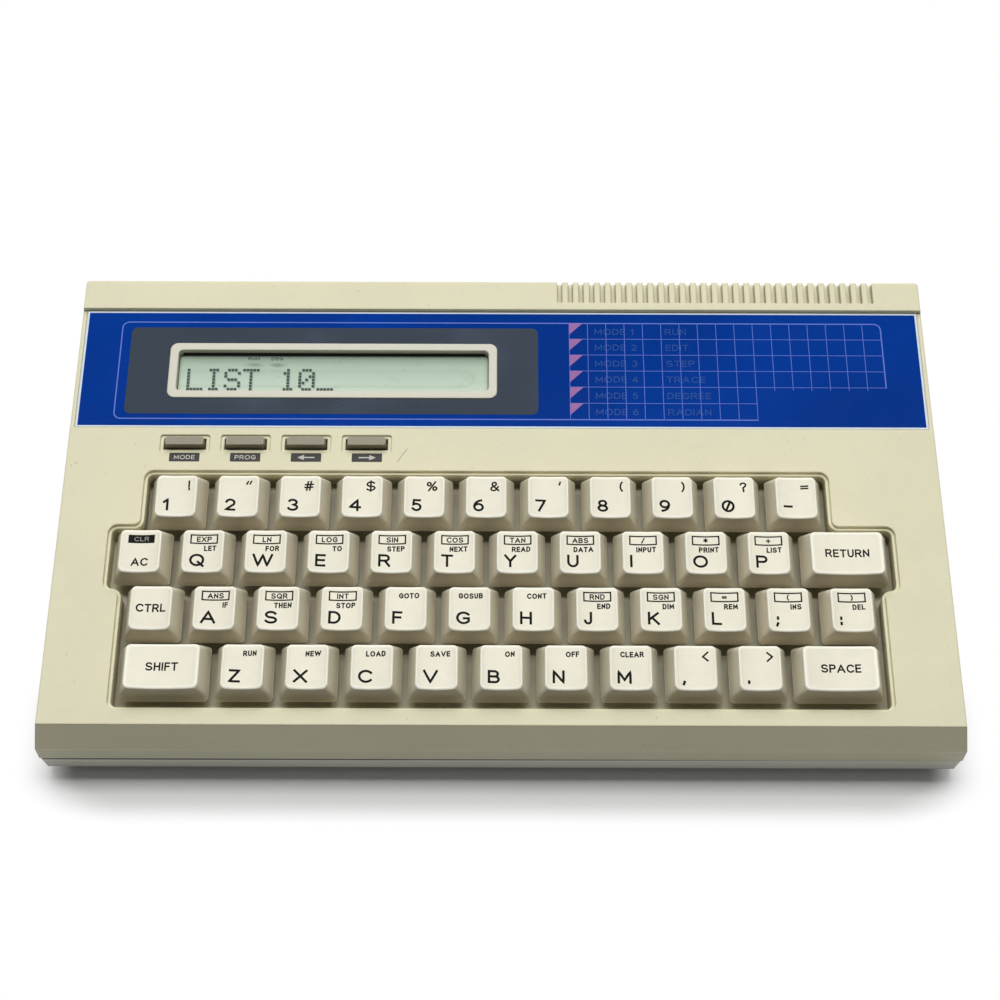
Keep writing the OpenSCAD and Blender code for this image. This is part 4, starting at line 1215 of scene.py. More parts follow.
@dataclass
class Keyboard:
    """Sliding keycaps with sloping sides, soft edges, a dished top and printed legends.

    The places of the print count from the middle or the edges of a cap's top, in millimetres.

    Args:
        bench: makes the pieces.
        sizes: the caps' sizes.
        plastic, ink, grey: the finishes of caps, of print and of print on a dark field.
        stem: the stem's width.
        hook: the hook's reach, depth, distance below the deck and height.
        main, second, centred, small, boxed, symbol, plate: the styles of lettering.
        main_at, second_at: how far in from the left or right and from the front or back edge the two
            signs stand.
        short_foot: how far in from the front edge two letters stand.
        box: the box's width, depth, shift of its middle and distance from the back edge.
        box_line: the width of its line.
        word_right: the place of a word's right end.
        word_back: how far in from the back edge a word's foot stands under a box, and its head alone.
    """

    bench: Bench
    sizes: KeySizes = KeySizes()
    # Walls and feet darker than the tops, front walls darkest and a paler rim: painted shade and painted highlight
    plastic: CapPlastic = CapPlastic(
        "ivory_keys", shade(238, 233, 212), 0.42, 0.3, 0.12, 0.02, edge_mm=0.12,
        foot=shade(196, 188, 165), wall=shade(238, 232, 210), front_foot=shade(206, 196, 174),
        front_wall=shade(186, 178, 157), rim=shade(253, 250, 234))
    ink: Ink = Ink("dark_print", shade(18, 17, 16), 0.6, specular=0.1)
    grey: Ink = Ink("grey_print", shade(150, 148, 140))
    stem: float = 5.0
    hook: Tuple[float, float, float, float] = (3.4, 3.0, 11.2, 1.0)
    main: Lettering = Lettering(4.2, 0.74)
    second: Lettering = Lettering(3.4, 0.54, 0.12, 0.95)
    centred: Lettering = Lettering(2.7, 0.5, 0.12, 0.82)
    small: Lettering = Lettering(1.8, 0.4, 0.11, 0.7)
    boxed: Lettering = Lettering(1.8, 0.36, 0.13, 0.82)
    symbol: Lettering = Lettering(1.9, 0.38)
    plate: Lettering = Lettering(1.5, 0.24, 0.2, 1.0)
    main_at: Tuple[float, float] = (2.3, 2.05)
    second_at: Tuple[float, float] = (2.3, 1.75)
    short_foot: float = 2.1
    box: Tuple[float, float, float, float] = (8.0, 2.8, 0.1, 1.6)
    box_line: float = 0.44
    word_right: float = 3.95
    word_back: Tuple[float, float] = (7.0, 1.9)

    def surface(self, half: float) -> Callable:
        """The dished top's level, rise - dish + R - sqrt(R² - x²), where R puts it at the rise at x = half.

        Args:
            half: half the top's width.

        Returns:
            A function that gives the level at arrays of x and y.
        """
        sizes = self.sizes
        radius = (half * half + sizes.dish ** 2) / (2.0 * sizes.dish)
        low = sizes.rise - sizes.dish + radius
        return lambda x, y: low - np.sqrt(radius ** 2 - np.minimum(np.abs(x), half) ** 2)

    def outline(self, width: float, depth: float, share: float, inset: float, radius: float) -> np.ndarray:
        """Outline of a cap at a share of its slope, moved inwards.

        Args:
            width, depth: the size of its foot.
            share: 0 at the foot and 1 at the top.
            inset: how far the outline is moved inwards.
            radius: its corners' radius before that.

        Returns:
            Points (x, y).
        """
        sizes = self.sizes
        side = width / 2 - share * sizes.side_slope - inset
        front = share * sizes.front_slope + inset - depth / 2
        back = depth / 2 - share * sizes.back_slope - inset
        return round_rect(-side, side, front, back, radius - inset, (round(width * 0.6), 7))

    def skin(self, width: float, depth: float) -> Tuple[List[np.ndarray], List[float]]:
        """Rings of a hollow cap from the eye of its ceiling down, round its foot and up over its top.

        A wall point at level z lies at foot + (top - foot) · share, where share runs from 0 at the foot
        to 1 under the soft edge. The edge follows a quarter circle of the edge's radius. The top is
        the edge's outline scaled towards its middle, set on the dished surface.

        Args:
            width, depth: the size of its foot.

        Returns:
            The rings, and the number that each carries as its attribute "ring".
        """
        sizes = self.sizes
        edge, foot_z = sizes.edge_radius, sizes.rise - sizes.height
        foot = self.outline(width, depth, 0.0, 0.0, sizes.foot_radius)
        top = self.outline(width, depth, 1.0, 0.0, sizes.top_radius)
        level = self.surface(width / 2 - sizes.side_slope)
        rim = level(top[:, 0], top[:, 1])

        def wall(z: np.ndarray) -> np.ndarray:
            """Wall points at a level each."""
            return lift(foot + (top - foot) * ((z - foot_z) / (sizes.height - edge))[:, None], z)

        flat = np.full(len(foot), foot_z)
        ceiling = sizes.rise - sizes.dish - sizes.roof
        roof = self.outline(width, depth, (ceiling - foot_z) / sizes.height, sizes.wall, sizes.top_radius)
        middle = np.array([0.0, (sizes.front_slope - sizes.back_slope) / 2])
        rings = [lift(middle + (roof - middle) * 0.1, ceiling), lift(roof, ceiling),
                 lift(self.outline(width, depth, 0.0, sizes.wall, sizes.foot_radius), foot_z),
                 wall(flat), wall(flat + 0.2), wall(rim - edge - 0.25), wall(rim - edge)]
        values = [0.0, 0.0, 0.0, 0.0, 0.05, 0.95, 1.0]
        for turn, value in ((22.5, 1.25), (45.0, 1.5), (67.5, 1.75), (90.0, 2.0)):
            angle = math.radians(turn)
            inset = self.outline(width, depth, 1.0, edge * (1.0 - math.cos(angle)), sizes.top_radius)
            rings.append(lift(rings[6][:, :2] + inset - top, rim - edge * (1.0 - math.sin(angle))))
            values.append(value)
        lip = rings[-1][:, :2]
        shares = (0.97, 0.86, 0.72, 0.58, 0.44, 0.3, 0.16, 0.04)
        for points in (middle + (lip - middle) * share for share in shares):
            rings.append(lift(points, level(points[:, 0], points[:, 1])))
        return rings, values + [2.2, 2.8] + [3.0] * (len(shares) - 2)

    def cap(self, width: float, depth: float, stem_foot: float) -> Shape:
        """A hollow cap with its stem and the stem's hook.

        Args:
            width, depth: the size of its foot.
            stem_foot: the level of the stem's foot.

        Returns:
            The cap, centred on its foot.
        """
        shape, half = Shape(), self.stem / 2
        rings, values = self.skin(width, depth)
        shape.loft(rings, values=values)
        shape.slab(centred_rect(0.0, 0.0, self.stem, self.stem, 0.4), stem_foot, rings[0][0, 2] + 0.2)
        reach, thick, top, height = self.hook
        wide, slim = (centred_rect(0.0, 0.0, 2 * side, thick, 0.1, 1) for side in (reach, half))
        shape.loft([lift(slim, -top - height), lift(wide, -top - 0.2), lift(wide, -top)])
        return shape

    def boxed_word(self, dark: Shape, light: Shape, legend: Legend, back: float, level: Callable) -> None:
        """A word in a box, or a pale word on a filled one.

        Args:
            dark, light: the shapes of dark and of pale print.
            legend: the key's legend.
            back: the place of the top's back edge.
            level: the top's surface.
        """
        width, depth, shift, gap = self.box
        x0, y0 = shift - width / 2, back - gap - depth
        x1, y1 = x0 + width, y0 + depth
        ink, proud = dark, PROUD
        style = self.boxed if len(legend.boxed) > 1 else self.symbol
        if legend.filled:
            ink, proud, style = light, 2 * PROUD, self.plate
            section = [(y0, -SUNK), (y1, -SUNK), (y1, PROUD), (y0, PROUD)]
            dark.loft([np.array([(x, y, float(level(x, y)) + up) for y, up in section])
                       for x in spread(x0, x1, 0.8)])
        else:
            dark.stroke([(x0, y0), (x1, y0), (x1, y1), (x0, y1)], self.box_line, True, level, PROUD)
        middle = y0 + (depth - style.height) / 2
        style.write(ink, legend.boxed, shift, middle, Side.MIDDLE, level, proud)

    def legend(self, legend: Legend, width: float, depth: float) -> Tuple[Shape, Shape]:
        """Print of one key, centred as its cap is.

        Args:
            legend: what is printed.
            width, depth: the size of the cap's foot.

        Returns:
            The dark and the light print.
        """
        sizes, dark, light = self.sizes, Shape(), Shape()
        half = width / 2 - sizes.side_slope
        level = self.surface(half)
        front, back = sizes.front_slope - depth / 2, depth / 2 - sizes.back_slope
        if len(legend.main) > 1:
            y = front + self.short_foot if len(legend.main) == 2 else (front + back - self.centred.height) / 2
            self.centred.write(dark, legend.main, 0.0, y, Side.MIDDLE, level)
        else:
            self.main.write(dark, legend.main, self.main_at[0] - half, front + self.main_at[1],
                            Side.LEFT, level)
        if legend.second:
            y = back - self.second_at[1] - self.second.height
            self.second.write(dark, legend.second, half - self.second_at[0], y, Side.RIGHT, level)
        if legend.boxed:
            self.boxed_word(dark, light, legend, back, level)
        if legend.word:
            under, alone = self.word_back
            y = back - under if legend.boxed else back - alone - self.small.height
            self.small.write(dark, legend.word, self.word_right, y, Side.RIGHT, level)
        return dark, light

    def build(self) -> None:
        """Makes every key of the frame: its cap in place of its node, and its print."""
        deck = self.bench.deck
        plastic = self.plastic.cap(deck, float(deck.node_box("key_1")[0][1]))
        ink, grey = self.ink.material(), self.grey.material()
        for name, legend in LEGENDS.items():
            node = "key_" + name
            low, high = deck.node_box(node)
            x, y = (low[0] + high[0]) / 2, (low[1] + high[1]) / 2
            width, depth = high[0] - low[0], high[1] - low[1]
            cap = self.cap(width, depth, low[2]).shift(x, y)
            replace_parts(self.bench.piece("cap_" + name, cap, plastic, node, "key_plastic", 40.0), node)
            dark, light = self.legend(legend, width, depth)
            self.bench.piece("print_" + name, dark.shift(x, y), ink, node, "key_plastic")
            if light.count:
                self.bench.piece("pale_print_" + name, light.shift(x, y), grey, node, "key_plastic")


# ---------- Function buttons ----------

@dataclass
class FunctionButtons:
    """Four low buttons and the labels in front of them.

    Args:
        bench: makes the pieces.
        plastic, label_ink, mark_ink: the finishes of the buttons, the labels and their marks.
        label, label_shift, label_gap: a label's size, its shift to the right and its distance.
        words, arrow: the styles of lettering.
        flange: how far it stands out, and its head and foot below the button's top.
        stem: the stem's width and depth.
        slope, soft: how far the sides lean in, and the radius of the top's edge.
    """

    bench: Bench
    # A dark front face, lighter side walls and a paler rim: painted shade and painted light
    plastic: CapPlastic = CapPlastic(
        "olive_buttons", shade(142, 136, 116), 0.38, 0.3, 0.15, foot=shade(130, 124, 104),
        wall=shade(162, 156, 134), front_foot=shade(40, 37, 28), front_wall=shade(122, 116, 98),
        rim=shade(168, 162, 142))
    label_ink: Ink = Ink("label_black", shade(58, 56, 54))
    mark_ink: Ink = Ink("pale_print", shade(204, 202, 192))
    label: Tuple[float, float] = (9.5, 3.1)
    label_shift: float = 0.2
    label_gap: float = 1.75
    words: Lettering = Lettering(1.5, 0.22, 0.2)
    arrow: Lettering = Lettering(1.9, 0.4)
    flange: Tuple[float, float, float] = (1.0, 4.4, 5.4)
    stem: Tuple[float, float] = (4.0, 2.6)
    slope: float = 0.4
    soft: float = 0.4

    def cap(self, low: np.ndarray, high: np.ndarray) -> Shape:
        """A button with its flange and stem.

        Its sides step in by the slope up to the soft edge, which follows a quarter circle:
        inset soft · (1 - cos a) and depth soft · (1 - sin a) below the top.

        Args:
            low, high: the corners of its node's box.

        Returns:
            The button, in its place.
        """
        shape = Shape()
        margin, head, foot = self.flange
        x0, x1, y0, y1 = low[0] + margin, high[0] - margin, low[1] + margin, high[1] - margin

        def level(inset: float, down: float) -> np.ndarray:
            """One ring of the button's outline, moved inwards and set below its top."""
            outline = round_rect(x0 + inset, x1 - inset, y0 + inset / 2, y1 - inset / 2, 0.45, turns=4)
            return lift(outline, high[2] - down)

        rings = [level(0.0, head), level(self.slope, self.soft + 0.05)]
        rings += [level(self.slope + self.soft * (1 - math.cos(turn)), self.soft * (1 - math.sin(turn)))
                  for turn in np.radians((0.0, 22.5, 45.0, 67.5, 90.0))]
        rings.append(level(self.slope + self.soft + 0.2, 0.0))
        shape.loft(rings, values=[0.0, 1.0, 1.0, 1.25, 1.5, 1.75, 2.0, 3.0])
        shape.slab(round_rect(low[0], high[0], low[1], high[1], 0.3, turns=2), high[2] - foot, high[2] - head)
        x, y = (low[0] + high[0]) / 2, (low[1] + high[1]) / 2
        shape.slab(centred_rect(x, y, *self.stem, 0.2), low[2], high[2] - foot)
        return shape

    def build(self) -> None:
        """Makes each button in place of its node, and the dark labels with their light marks."""
        deck = self.bench.deck
        plastic = self.plastic.cap(deck, float(deck.node_box("button_mode")[0][1]) + self.flange[0])
        marks = {"button_mode": "MODE", "button_program": "PROG", "button_left": "←", "button_right": "→"}
        plates, words = Shape(), Shape()
        for node, mark in marks.items():
            low, high = deck.node_box(node)
            cap = self.bench.piece("cap_" + node, self.cap(low, high), plastic, node, "button_plastic", 40.0)
            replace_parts(cap, node)
            x = (low[0] + high[0]) / 2 + self.label_shift
            y = low[1] + self.flange[0] - self.label_gap - self.label[1] / 2
            plates.slab(centred_rect(x, y, *self.label, 0.15, 1), -0.05, PROUD)
            style = self.words if mark.isalpha() else self.arrow
            style.write(words, mark, x, y - style.height / 2, Side.MIDDLE, None, 2 * PROUD)
        self.bench.piece("button_labels", plates, self.label_ink.material(), "case", "case_plastic")
        self.bench.piece("button_marks", words, self.mark_ink.material(), "case", "case_plastic")


# ---------- Display ----------

DOT_ROWS: Dict[str, Tuple[int, ...]] = {
    "L": (16, 16, 16, 16, 16, 16, 31), "I": (14, 4, 4, 4, 4, 4, 14), "S": (14, 17, 16, 14, 1, 17, 14),
    "T": (31, 4, 4, 4, 4, 4, 4), "1": (4, 12, 4, 4, 4, 4, 14), "0": (14, 17, 19, 21, 25, 17, 14),
    "_": (0, 0, 0, 0, 0, 0, 31), " ": (0, 0, 0, 0, 0, 0, 0),
}


@dataclass
class Display:
    """Dot-matrix display: glass, driven dots, their shadow on the reflector, and a dark strip of painted shade
    behind.

    Args:
        bench: makes the pieces.
        crystal, dark, faint, rubber: the finishes of glass, dots, shadows and the dark strip.
        text: the line that it shows.
        places: how many signs it has room for.
        first_x, line_y: the first sign's middle and the line's foot.
        pitch: the signs' distance.
        dots, dot_share: the dots' distances across and up, and the share of it that a dot fills.
        shadow: how far the shadows lie off the dots.
        states, state: small words with their places in signs, and their style.
        state_rise: how far they stand above the line's foot.
        gasket: the dark strip's distance from the back edge, its inset at the ends and its height.
    """

    bench: Bench
    crystal: LiquidCrystal = LiquidCrystal("liquid_crystal", shade(192, 208, 190), shade(165, 186, 165))
    dark: Ink = Ink("lcd_dark", shade(58, 74, 66))
    faint: Ink = Ink("lcd_shadow", shade(158, 178, 162))
    rubber: MouldedPlastic = MouldedPlastic("black_gasket", shade(24, 26, 24), 0.7)
    text: str = "LIST 10_"
    places: int = 16
    first_x: float = -98.6
    line_y: float = 35.1
    pitch: float = 5.97
    dots: Tuple[float, float] = (1.08, 1.2)
    dot_share: float = 0.86
    shadow: Tuple[float, float] = (0.35, -0.5)
    states: Tuple[Tuple[str, float], ...] = (("RUN", 2.85), ("DEG", 4.1))
    state: Lettering = Lettering(1.3, 0.26, 0.14)
    state_rise: float = 9.9
    gasket: Tuple[float, float, float] = (0.2, 0.9, 0.9)

    def dot_slabs(self, dx: float, dy: float, low: float, high: float) -> Shape:
        """One thin slab for every driven dot: 5 across and 7 high for each sign.

        Args:
            dx, dy: how far the slabs lie off the dots' places.
            low, high: their levels.

        Returns:
            The slabs.
        """
        shape = Shape()
        across, up = self.dots
        size = across * self.dot_share, up * self.dot_share
        for place, sign in enumerate(self.text):
            for row, bits in enumerate(DOT_ROWS[sign]):
                for column in (column for column in range(5) if bits >> (4 - column) & 1):
                    x = self.first_x + place * self.pitch + (column - 2) * across + dx
                    y = self.line_y + (6.5 - row) * up + dy
                    shape.slab(centred_rect(x, y, *size, 0.05, 1), low, high)
        return shape

    def window(self) -> Tuple[np.ndarray, np.ndarray]:
        """Finds the glass face as the box of the highest points of the display's module.

        Returns:
            Its lowest and highest corner.
        """
        points = self.bench.deck.node_points("lcd_module")
        points = points[points[:, 2] > points[:, 2].max() - 0.01]
        return points.min(0), points.max(0)

    def build(self) -> None:
        """Lays the glass face over its module, the dots over it, and the dark strip of painted shade behind it."""
        face, gasket, (low, high) = Shape(), Shape(), self.window()
        top = high[2]
        face.slab(round_rect(low[0], high[0], low[1], high[1], 1.2), top - 0.3, top + 0.02)
        crystal = self.crystal.material(self.bench.deck, low, high)
        self.bench.piece("display_glass", face, crystal, "case", "display_glass")
        # a black strip along the back of the glass: painted shade over the recess's unlit back wall
        wall, inset, height = self.gasket
        gasket.slab(round_rect(low[0] + inset, high[0] - inset, high[1] - wall, high[1] + 0.1, 0.1, turns=2),
                    top, top + height)
        self.bench.piece("display_gasket", gasket, self.rubber.material(), "case", "silicone")
        shadow = self.dot_slabs(*self.shadow, top, top + 0.03)
        self.bench.piece("display_dot_shadows", shadow, self.faint.material(), "case", "display_glass")
        dots = self.dot_slabs(0.0, 0.0, top, top + 0.05)
        for word, place in self.states:
            x, y = self.first_x + place * self.pitch, self.line_y + self.state_rise
            self.state.write(dots, word, x, y)
        self.bench.piece("display_dots", dots, self.dark.material(), "case", "display_glass")


@dataclass
class PanelPrint:
    """Print on the clear panel: a slate field round the display, a fine outline, a grid and marks.

    Args:
        bench: makes the pieces.
        display: the display that the places are marked for.
        slate_ink, line_ink, mark_ink, word_ink, dot_ink: the finishes of field, lines, marks, words, dots.
        slate: the field's sides x0, x1, y0 and y1.
        slate_turn, hole_turn: the radii of its outer and inner corners.
        rim: how far inside the panel's sides its hole lies.
        outline_x, outline_turn: the outline's left side and the radius of its corners.
        grid_x, grid_foot: the grid's lower left corner.
        cell, cells: a cell's size, and how many columns and rows there are.
        short_cells, short_rows: how many columns the lowest rows have, and how many rows that is.
        line, grid_line: the widths of the outline and of the grid's lines.
        mark: the size of a row's triangle.
        word: the words' style.
        word_at: how far from the grid's left side the modes and the words start, and from a row's foot.
        dot_y, dot: the place and the size of the dots under the display's signs.
        lift: how far print stands above the panel.
    """

    bench: Bench
    display: Display
    slate_ink: Ink = Ink("slate_print", shade(62, 71, 83), 0.14, 0.3, 30.0)
    line_ink: Ink = Ink("lilac_print", shade(96, 120, 210), 0.3, 0.05)
    mark_ink: Ink = Ink("pink_print", shade(152, 104, 164), 0.3, 0.05)
    word_ink: Ink = Ink("deep_print", shade(24, 72, 146), 0.3, 0.05)
    dot_ink: Ink = Ink("dusk_print", shade(38, 48, 66), 0.3, 0.05)
    slate: Tuple[float, float, float, float] = (-119.9, 11.6, 25.2, 57.7)
    slate_turn: float = 2.0
    hole_turn: float = 2.5
    rim: float = 3.0
    outline_x: float = -123.0
    outline_turn: float = 2.2
    grid_x: float = 21.72
    grid_foot: float = 23.4
    cell: Tuple[float, float] = (5.94, 6.055)
    cells: Tuple[int, int] = (17, 6)
    short_cells: int = 10
    short_rows: int = 2
    line: float = 0.38
    grid_line: float = 0.18
    mark: float = 4.3
    word: Lettering = Lettering(2.3, 0.3, 0.22)
    word_at: Tuple[float, float, float] = (8.2, 31.0, 1.7)
    dot_y: float = 28.45
    dot: float = 0.5
    lift: float = 0.03

    def field(self, top: float) -> Shape:
        """The slate field from its outline to the panel's hole.

        Args:
            top: the panel's level.

        Returns:
            A frame that reaches into the panel.
        """
        shape = Shape()
        (x0, y0), (x1, y1) = self.bench.deck.hole("display_panel", self.rim)
        shape.frame(round_rect(*self.slate, self.slate_turn, turns=8),
                    round_rect(x0, x1, y0, y1, self.hole_turn, turns=8), top - 0.05, top + self.lift)
        return shape

    def lines(self) -> Shape:
        """The outline that runs round the display and into the grid, and the grid's inner lines.

        Returns:
            The lines at level 0.
        """
        shape = Shape()
        (across, up), (columns, rows) = self.cell, self.cells
        left, foot = self.grid_x, self.grid_foot
        right, head = left + columns * across, foot + rows * up
        short, shelf = left + self.short_cells * across, foot + self.short_rows * up

        def draw(path: Sequence[Point], width: float = self.grid_line) -> None:
            """One fine line."""
            shape.stroke(path, width, False, lambda x, y: np.zeros_like(x), self.lift + 0.01, 40.0)

        turn, side = self.outline_turn, self.outline_x
        draw(curve((short, foot), (side + turn, foot),
                   arc(side + turn, foot + turn, turn, turn, 270, 180)[1:], (side, head - turn),
                   arc(side + turn, head - turn, turn, turn, 180, 90)[1:], (right - turn, head),
                   arc(right - turn, head - turn, turn, turn, 90, 0)[1:], (right, shelf)), self.line)
        draw([(short, foot), (short, head)])
        draw([(left, foot), (left, head)])
        for row in range(1, rows):
            y = foot + row * up
            draw([(left, y), (short if row < self.short_rows else right, y)])
        for column in (column for column in range(1, columns) if column != self.short_cells):
            x = left + column * across
            draw([(x, foot if column < self.short_cells else shelf - 1.0), (x, head)])
        return shape

    def marks(self) -> Shape:
        """A right-angled triangle in the left column of each row.

        Returns:
            The triangles at level 0.
        """
        shape = Shape()
        for row in range(self.cells[1]):
            x, y = self.grid_x, self.grid_foot + (row + 1) * self.cell[1]
            outline = np.array([(x, y - self.mark), (x + self.mark, y), (x, y)])
            shape.slab(outline, -0.05, self.lift + 0.02)
        return shape

    def words(self) -> Shape:
        """List of modes, a number and a word for each row.

        Returns:
            The words at level 0.
        """
        shape, (mode_x, word_x, rise) = Shape(), self.word_at
        for row, word in enumerate(("RADIAN", "DEGREE", "TRACE", "STEP", "EDIT", "RUN")):
            y = self.grid_foot + row * self.cell[1] + rise
            self.word.write(shape, f"MODE {self.cells[1] - row}", self.grid_x + mode_x, y, proud=self.lift)
            self.word.write(shape, word, self.grid_x + word_x, y, proud=self.lift)
        return shape

    def dots(self) -> Shape:
        """A dot under each place of the display.

        Returns:
            The dots at level 0.
        """
        shape = Shape()
        for place in range(self.display.places):
            x = self.display.first_x + place * self.display.pitch
            shape.slab(centred_rect(x, self.dot_y, self.dot, self.dot, 0.2), 0.0, self.lift + 0.02)
        return shape

    def build(self) -> None:
        """Lays the print on the panel's top face."""
        top = self.bench.deck.node_box("display_panel")[1][2]
        prints = (("slate_field", self.field(top), self.slate_ink),
                  ("panel_lines", self.lines().shift(0, 0, top), self.line_ink),
                  ("panel_marks", self.marks().shift(0, 0, top), self.mark_ink),
                  ("panel_words", self.words().shift(0, 0, top), self.word_ink),
                  ("place_dots", self.dots().shift(0, 0, top), self.dot_ink))
        for name, shape, ink in prints:
            self.bench.piece(name, shape, ink.material(), "case", "panel_acrylic")


# ---------- Case ----------

@dataclass
class RearFittings:
    """Metal parts in the sockets at the back: inlet pin, jack sleeves and connector springs.

    Args:
        bench: makes the pieces.
        steel, gold: their finishes.
        pin: the pin's radius, and how far its foot and its tip lie in.
        sleeve: a sleeve's outer and inner radius and its length.
        spring: a spring's width, length and thickness.
        springs, spring_pitch: how many a row has, and their distance.
        slot_x, slot_half: the slot's middle and half its height.
    """

    bench: Bench
    steel: Metal = Metal("socket_steel", shade(190, 190, 192), 0.3)
    gold: Metal = Metal("gilt_springs", shade(212, 178, 96), 0.3)
    pin: Tuple[float, float, float] = (1.0, 9.4, 1.4)
    sleeve: Tuple[float, float, float] = (1.79, 1.5, 1.2)
    spring: Tuple[float, float, float] = (0.9, 7.6, 0.3)
    springs: int = 11
    spring_pitch: float = 2.54
    slot_x: float = -94.0
    slot_half: float = 1.2

    def mount(self, name: str) -> np.ndarray:
        """A mount's place in the deck's frame, in millimetres."""
        found = next(mount for mount in frame["record"]["mounts"] if mount["name"] == name)
        return self.bench.deck.to_deck(np.array([found["pos_m"]]))[0]

    def build(self) -> None:
        """Makes the pin and the sleeves along the sockets' axes, and two rows of springs in the slot."""
        pins, rows = Shape(), Shape()
        x, y, z = self.mount("power_inlet")
        radius, deep, tip = self.pin
        pins.turned([(radius, y - deep), (radius, y - tip - 0.5), (radius - 0.35, y - tip)], x, z)
        outer, inner, length = self.sleeve
        for x, y, z in (self.mount(name) for name in ("audio_jack_1", "audio_jack_2")):
            pins.turned([(outer, y - length), (outer, y + 0.05), (inner, y + 0.05), (inner, y - length)],
                        x, z, True)
        self.bench.piece("socket_metal", pins, self.steel.material(), "case", "screw_steel", 40.0)
        width, length, thick = self.spring
        for place in range(self.springs):
            x = self.slot_x + (place - (self.springs - 1) / 2) * self.spring_pitch
            outline = round_rect(x - width / 2, x + width / 2, y - length, y + 0.6, 0.1, turns=1)
            rows.slab(outline, z - self.slot_half, z - self.slot_half + thick)
            rows.slab(outline, z + self.slot_half - thick, z + self.slot_half)
        self.bench.piece("connector_springs", rows, self.gold.material(), "case", "screw_steel")


@dataclass
class Case:
    """The CAD pieces that stay as they are: both case halves, the panel, and the parts inside."""

    deck: Deck
    cream: CasePlastic = CasePlastic("cream_case", shade(222, 217, 184), 0.48, specks=1.0, edge_mm=0.7)
    panel: ClearPanel = ClearPanel("blue_panel", shade(0, 54, 145), shade(222, 232, 240),
                                   shade(120, 140, 180))
    board: CircuitBoard = CircuitBoard("board_and_parts", shade(30, 90, 50), shade(24, 24, 24))
    mat: MouldedPlastic = MouldedPlastic("silicone_mat", shade(190, 188, 180), 0.6)
    jacket: Metal = Metal("cell_jacket", shade(150, 150, 156), 0.35)
    zinc: Metal = Metal("zinc_screws", shade(180, 180, 184), 0.3)
    bezel: Metal = Metal("display_bezel", shade(150, 150, 150), 0.4)
    black: MouldedPlastic = MouldedPlastic("black_switch", shade(38, 38, 38), 0.45)

    def build(self) -> None:
        """Gives each CAD node that stays its finish."""
        deck = self.deck
        shell = self.cream.shell(deck, deck.node_box("upper_case")[0][2])
        finishes = {
            "upper_case": shell, "lower_case": shell, "battery_door": shell,
            "display_panel": self.panel.material(deck, *deck.node_box("display_panel")),
            "circuit_board": self.board.material(deck, deck.node_box("dome_mat")[0][2]),
            "dome_mat": self.mat.material(), "battery_set": self.jacket.material(),
            "screws": self.zinc.material(), "lcd_module": self.bezel.material(),
            "power_switch": self.black.material(),
        }
        for node, material in finishes.items():
            frame["nodes"][node].data.materials[0] = material
            LOG.info("%s: %s", node, material.name)


# ---------- Studio ----------

@dataclass(frozen=True)
class Lamp:
    """A rectangular soft lamp that shines from its place towards the object's middle."""

    name: str
    place: Tuple[float, float, float]
    size: Tuple[float, float]
    power: float

    def build(self) -> None:
        """Sets the lamp, turned by the angle of its place from the vertical and about it."""
        data = bpy.data.lights.new(self.name, "AREA")
        data.shape = "RECTANGLE"
        data.size, data.size_y = self.size
        data.energy = self.power
        made = bpy.data.objects.new(self.name, data)
        x, y, z = self.place
        made.location = self.place
        made.rotation_euler = (math.atan2(math.hypot(x, y), z), 0.0, math.atan2(x, -y))
        bpy.context.scene.collection.objects.link(made)


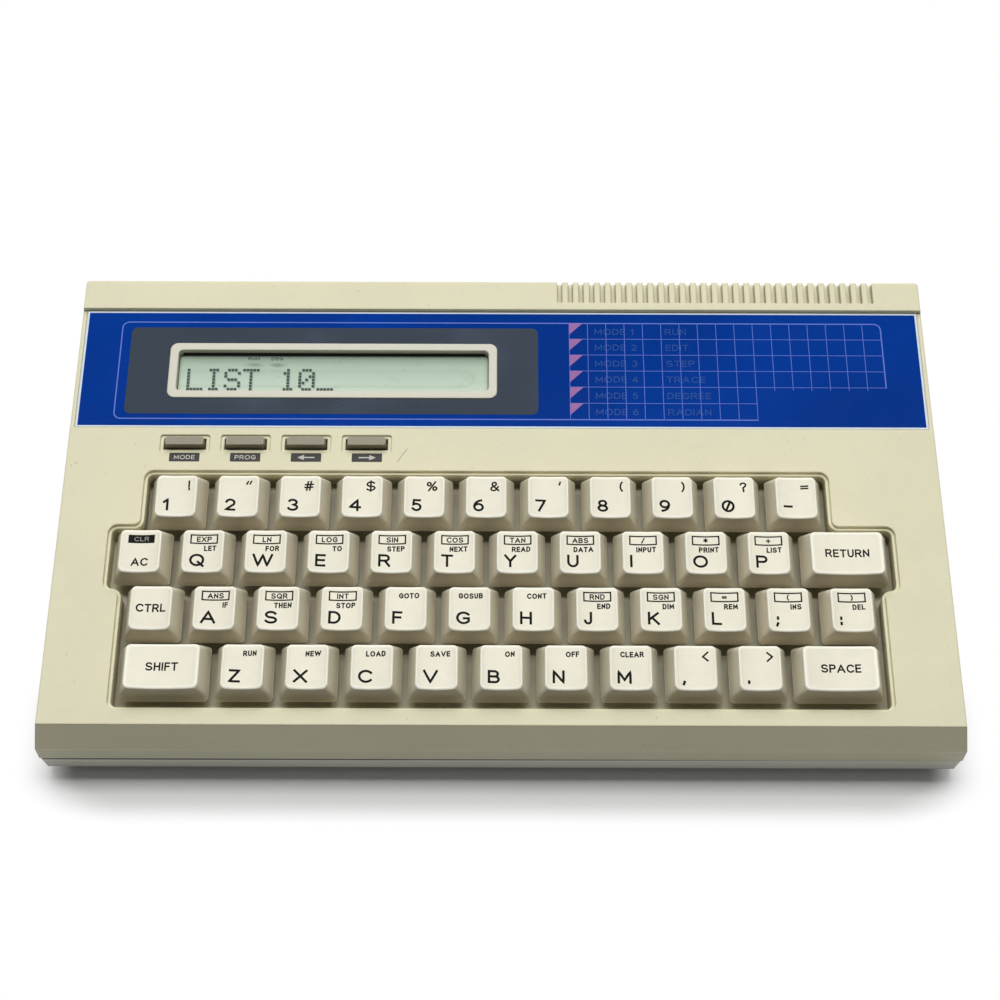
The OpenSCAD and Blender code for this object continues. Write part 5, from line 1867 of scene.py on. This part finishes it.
@dataclass
class Studio:
    """White floor, soft lamps and the camera.

    Args:
        deck: the frame that the camera's place is in, in millimetres.
        camera_at, camera_turn, lens: the camera's place, its turns in degrees and its lens.
        shadow: how far from the object its shadow on the floor starts and ends to fade, in metres.
        corner: how much narrower the object counts for that, and the share that x counts by.
        floor_half: half the floor's side.
        sky: the strength of the light from all round.
        lamps: the lamps.
    """

    deck: Deck
    camera_at: Tuple[float, float, float] = (-0.81, -311.88, 564.04)
    camera_turn: Tuple[float, float, float] = (33.485, -0.120, 0.137)
    lens: float = 74.61
    shadow: Tuple[float, float] = (0.008, 0.018)
    corner: Tuple[float, float] = (0.026, 0.5)
    floor_half: float = 6.0
    sky: float = 0.11
    lamps: Tuple[Lamp, ...] = (Lamp("top_lamp", (0.0, 0.55, 2.4), (2.6, 0.6), 45.0),
                               Lamp("back_lamp", (0.0, 1.9, 1.7), (2.4, 0.7), 26.0))

    def camera(self) -> None:
        """Sets the camera."""
        data = bpy.data.cameras.new("camera")
        data.lens = self.lens
        data.clip_start, data.clip_end = 0.01, 20.0
        made = bpy.data.objects.new("camera", data)
        made.location = self.deck.to_object(np.array([self.camera_at]))[0]
        made.rotation_euler = [math.radians(angle) for angle in self.camera_turn]
        bpy.context.scene.collection.objects.link(made)
        bpy.context.scene.camera = made

    def floor(self) -> None:
        """A wide floor that keeps the object's shadow, is white further away and throws little light back.

        The white's share rises with the distance outside the object's box, the root of the sum of the
        squares of max(|x - middle| - half, 0) and the same for y. The box is narrower by the corner's
        first size and x counts by its second, so that the shadow fades at the corners. Beside the object
        the floor is white.
        """
        graph = Graph("floor_white")
        x, y, _ = graph.axes()
        (left, front, _), (right, back, _) = CAD_BOX
        beside = abs(x - (left + right) / 2) - (right - left) / 2
        across = (beside + self.corner[0]).math("MAXIMUM", 0.0) * self.corner[1]
        along = (abs(y - (front + back) / 2) - (back - front) / 2).math("MAXIMUM", 0.0)
        clear = (across * across + along * along).math("SQRT").over(*self.shadow)
        clear = clear.math("MAXIMUM", beside.over(-0.001, 0.002) * (y - front).over(0.0, 0.03)) * 0.99 + 0.01
        matt, pale = (graph.add("ShaderNodeBsdfDiffuse", inputs={"Color": (grey, grey, grey)})
                      for grey in (0.7, 0.8))
        white = graph.add("ShaderNodeEmission", inputs={"Color": (1.0, 1.0, 1.0), "Strength": 1.0})
        seen = graph.node("ShaderNodeLightPath").outputs
        direct = Socket(graph, seen["Is Camera Ray"]) + Socket(graph, seen["Is Glossy Ray"])
        share = (direct + Socket(graph, seen["Is Transmission Ray"])).over(0.0, 1.0)
        bright = graph.add("ShaderNodeMixShader", inputs={0: clear, 1: pale, 2: white})
        mixed = graph.add("ShaderNodeMixShader", inputs={0: share, 1: matt, 2: bright})
        graph.node("ShaderNodeOutputMaterial", inputs={"Surface": mixed})
        mesh = bpy.data.meshes.new("floor")
        half = self.floor_half
        mesh.from_pydata([(-half, -half, 0), (half, -half, 0), (half, half, 0), (-half, half, 0)], [],
                         [(0, 1, 2, 3)])
        made = bpy.data.objects.new("floor", mesh)
        mesh.materials.append(graph.owner)
        bpy.context.scene.collection.objects.link(made)

    def world(self) -> None:
        """Even white light from all round, and a plain white background where the camera sees it."""
        graph = Graph("studio", bpy.data.worlds.new("studio"))
        seen = graph.node("ShaderNodeLightPath").outputs
        direct, through = (Socket(graph, seen[name]) for name in ("Is Camera Ray", "Is Transmission Ray"))
        lit, white = (graph.add("ShaderNodeBackground", inputs={"Color": (1.0, 1.0, 1.0), "Strength": power})
                      for power in (self.sky, 1.0))
        share = direct.math("MAXIMUM", through)
        mixed = graph.add("ShaderNodeMixShader", inputs={0: share, 1: lit, 2: white})
        graph.node("ShaderNodeOutputWorld", inputs={"Surface": mixed})
        bpy.context.scene.world = graph.owner

    def build(self) -> None:
        """Sets camera, floor, lamps and colour view."""
        self.camera()
        self.floor()
        self.world()
        for lamp in self.lamps:
            lamp.build()
        bpy.context.scene.view_settings.view_transform = "Standard"


# ---------- Assembly ----------

def build_computer() -> None:
    """Builds the studio and every sub-assembly in order."""
    sizes = KeySizes()
    deck = Deck.from_frame(sizes)
    bench = Bench(deck)
    display = Display(bench)
    for assembly in (Studio(deck), Case(deck), PanelPrint(bench, display), display, RearFittings(bench),
                     FunctionButtons(bench), Keyboard(bench, sizes)):
        LOG.info("%s", type(assembly).__name__)
        assembly.build()
    LOG.info("%d pieces made, %d triangles", bench.made, bench.triangles)


if __name__ == "__main__":
    logging.basicConfig(level=logging.INFO, format="%(name)s: %(message)s")
    build_computer()
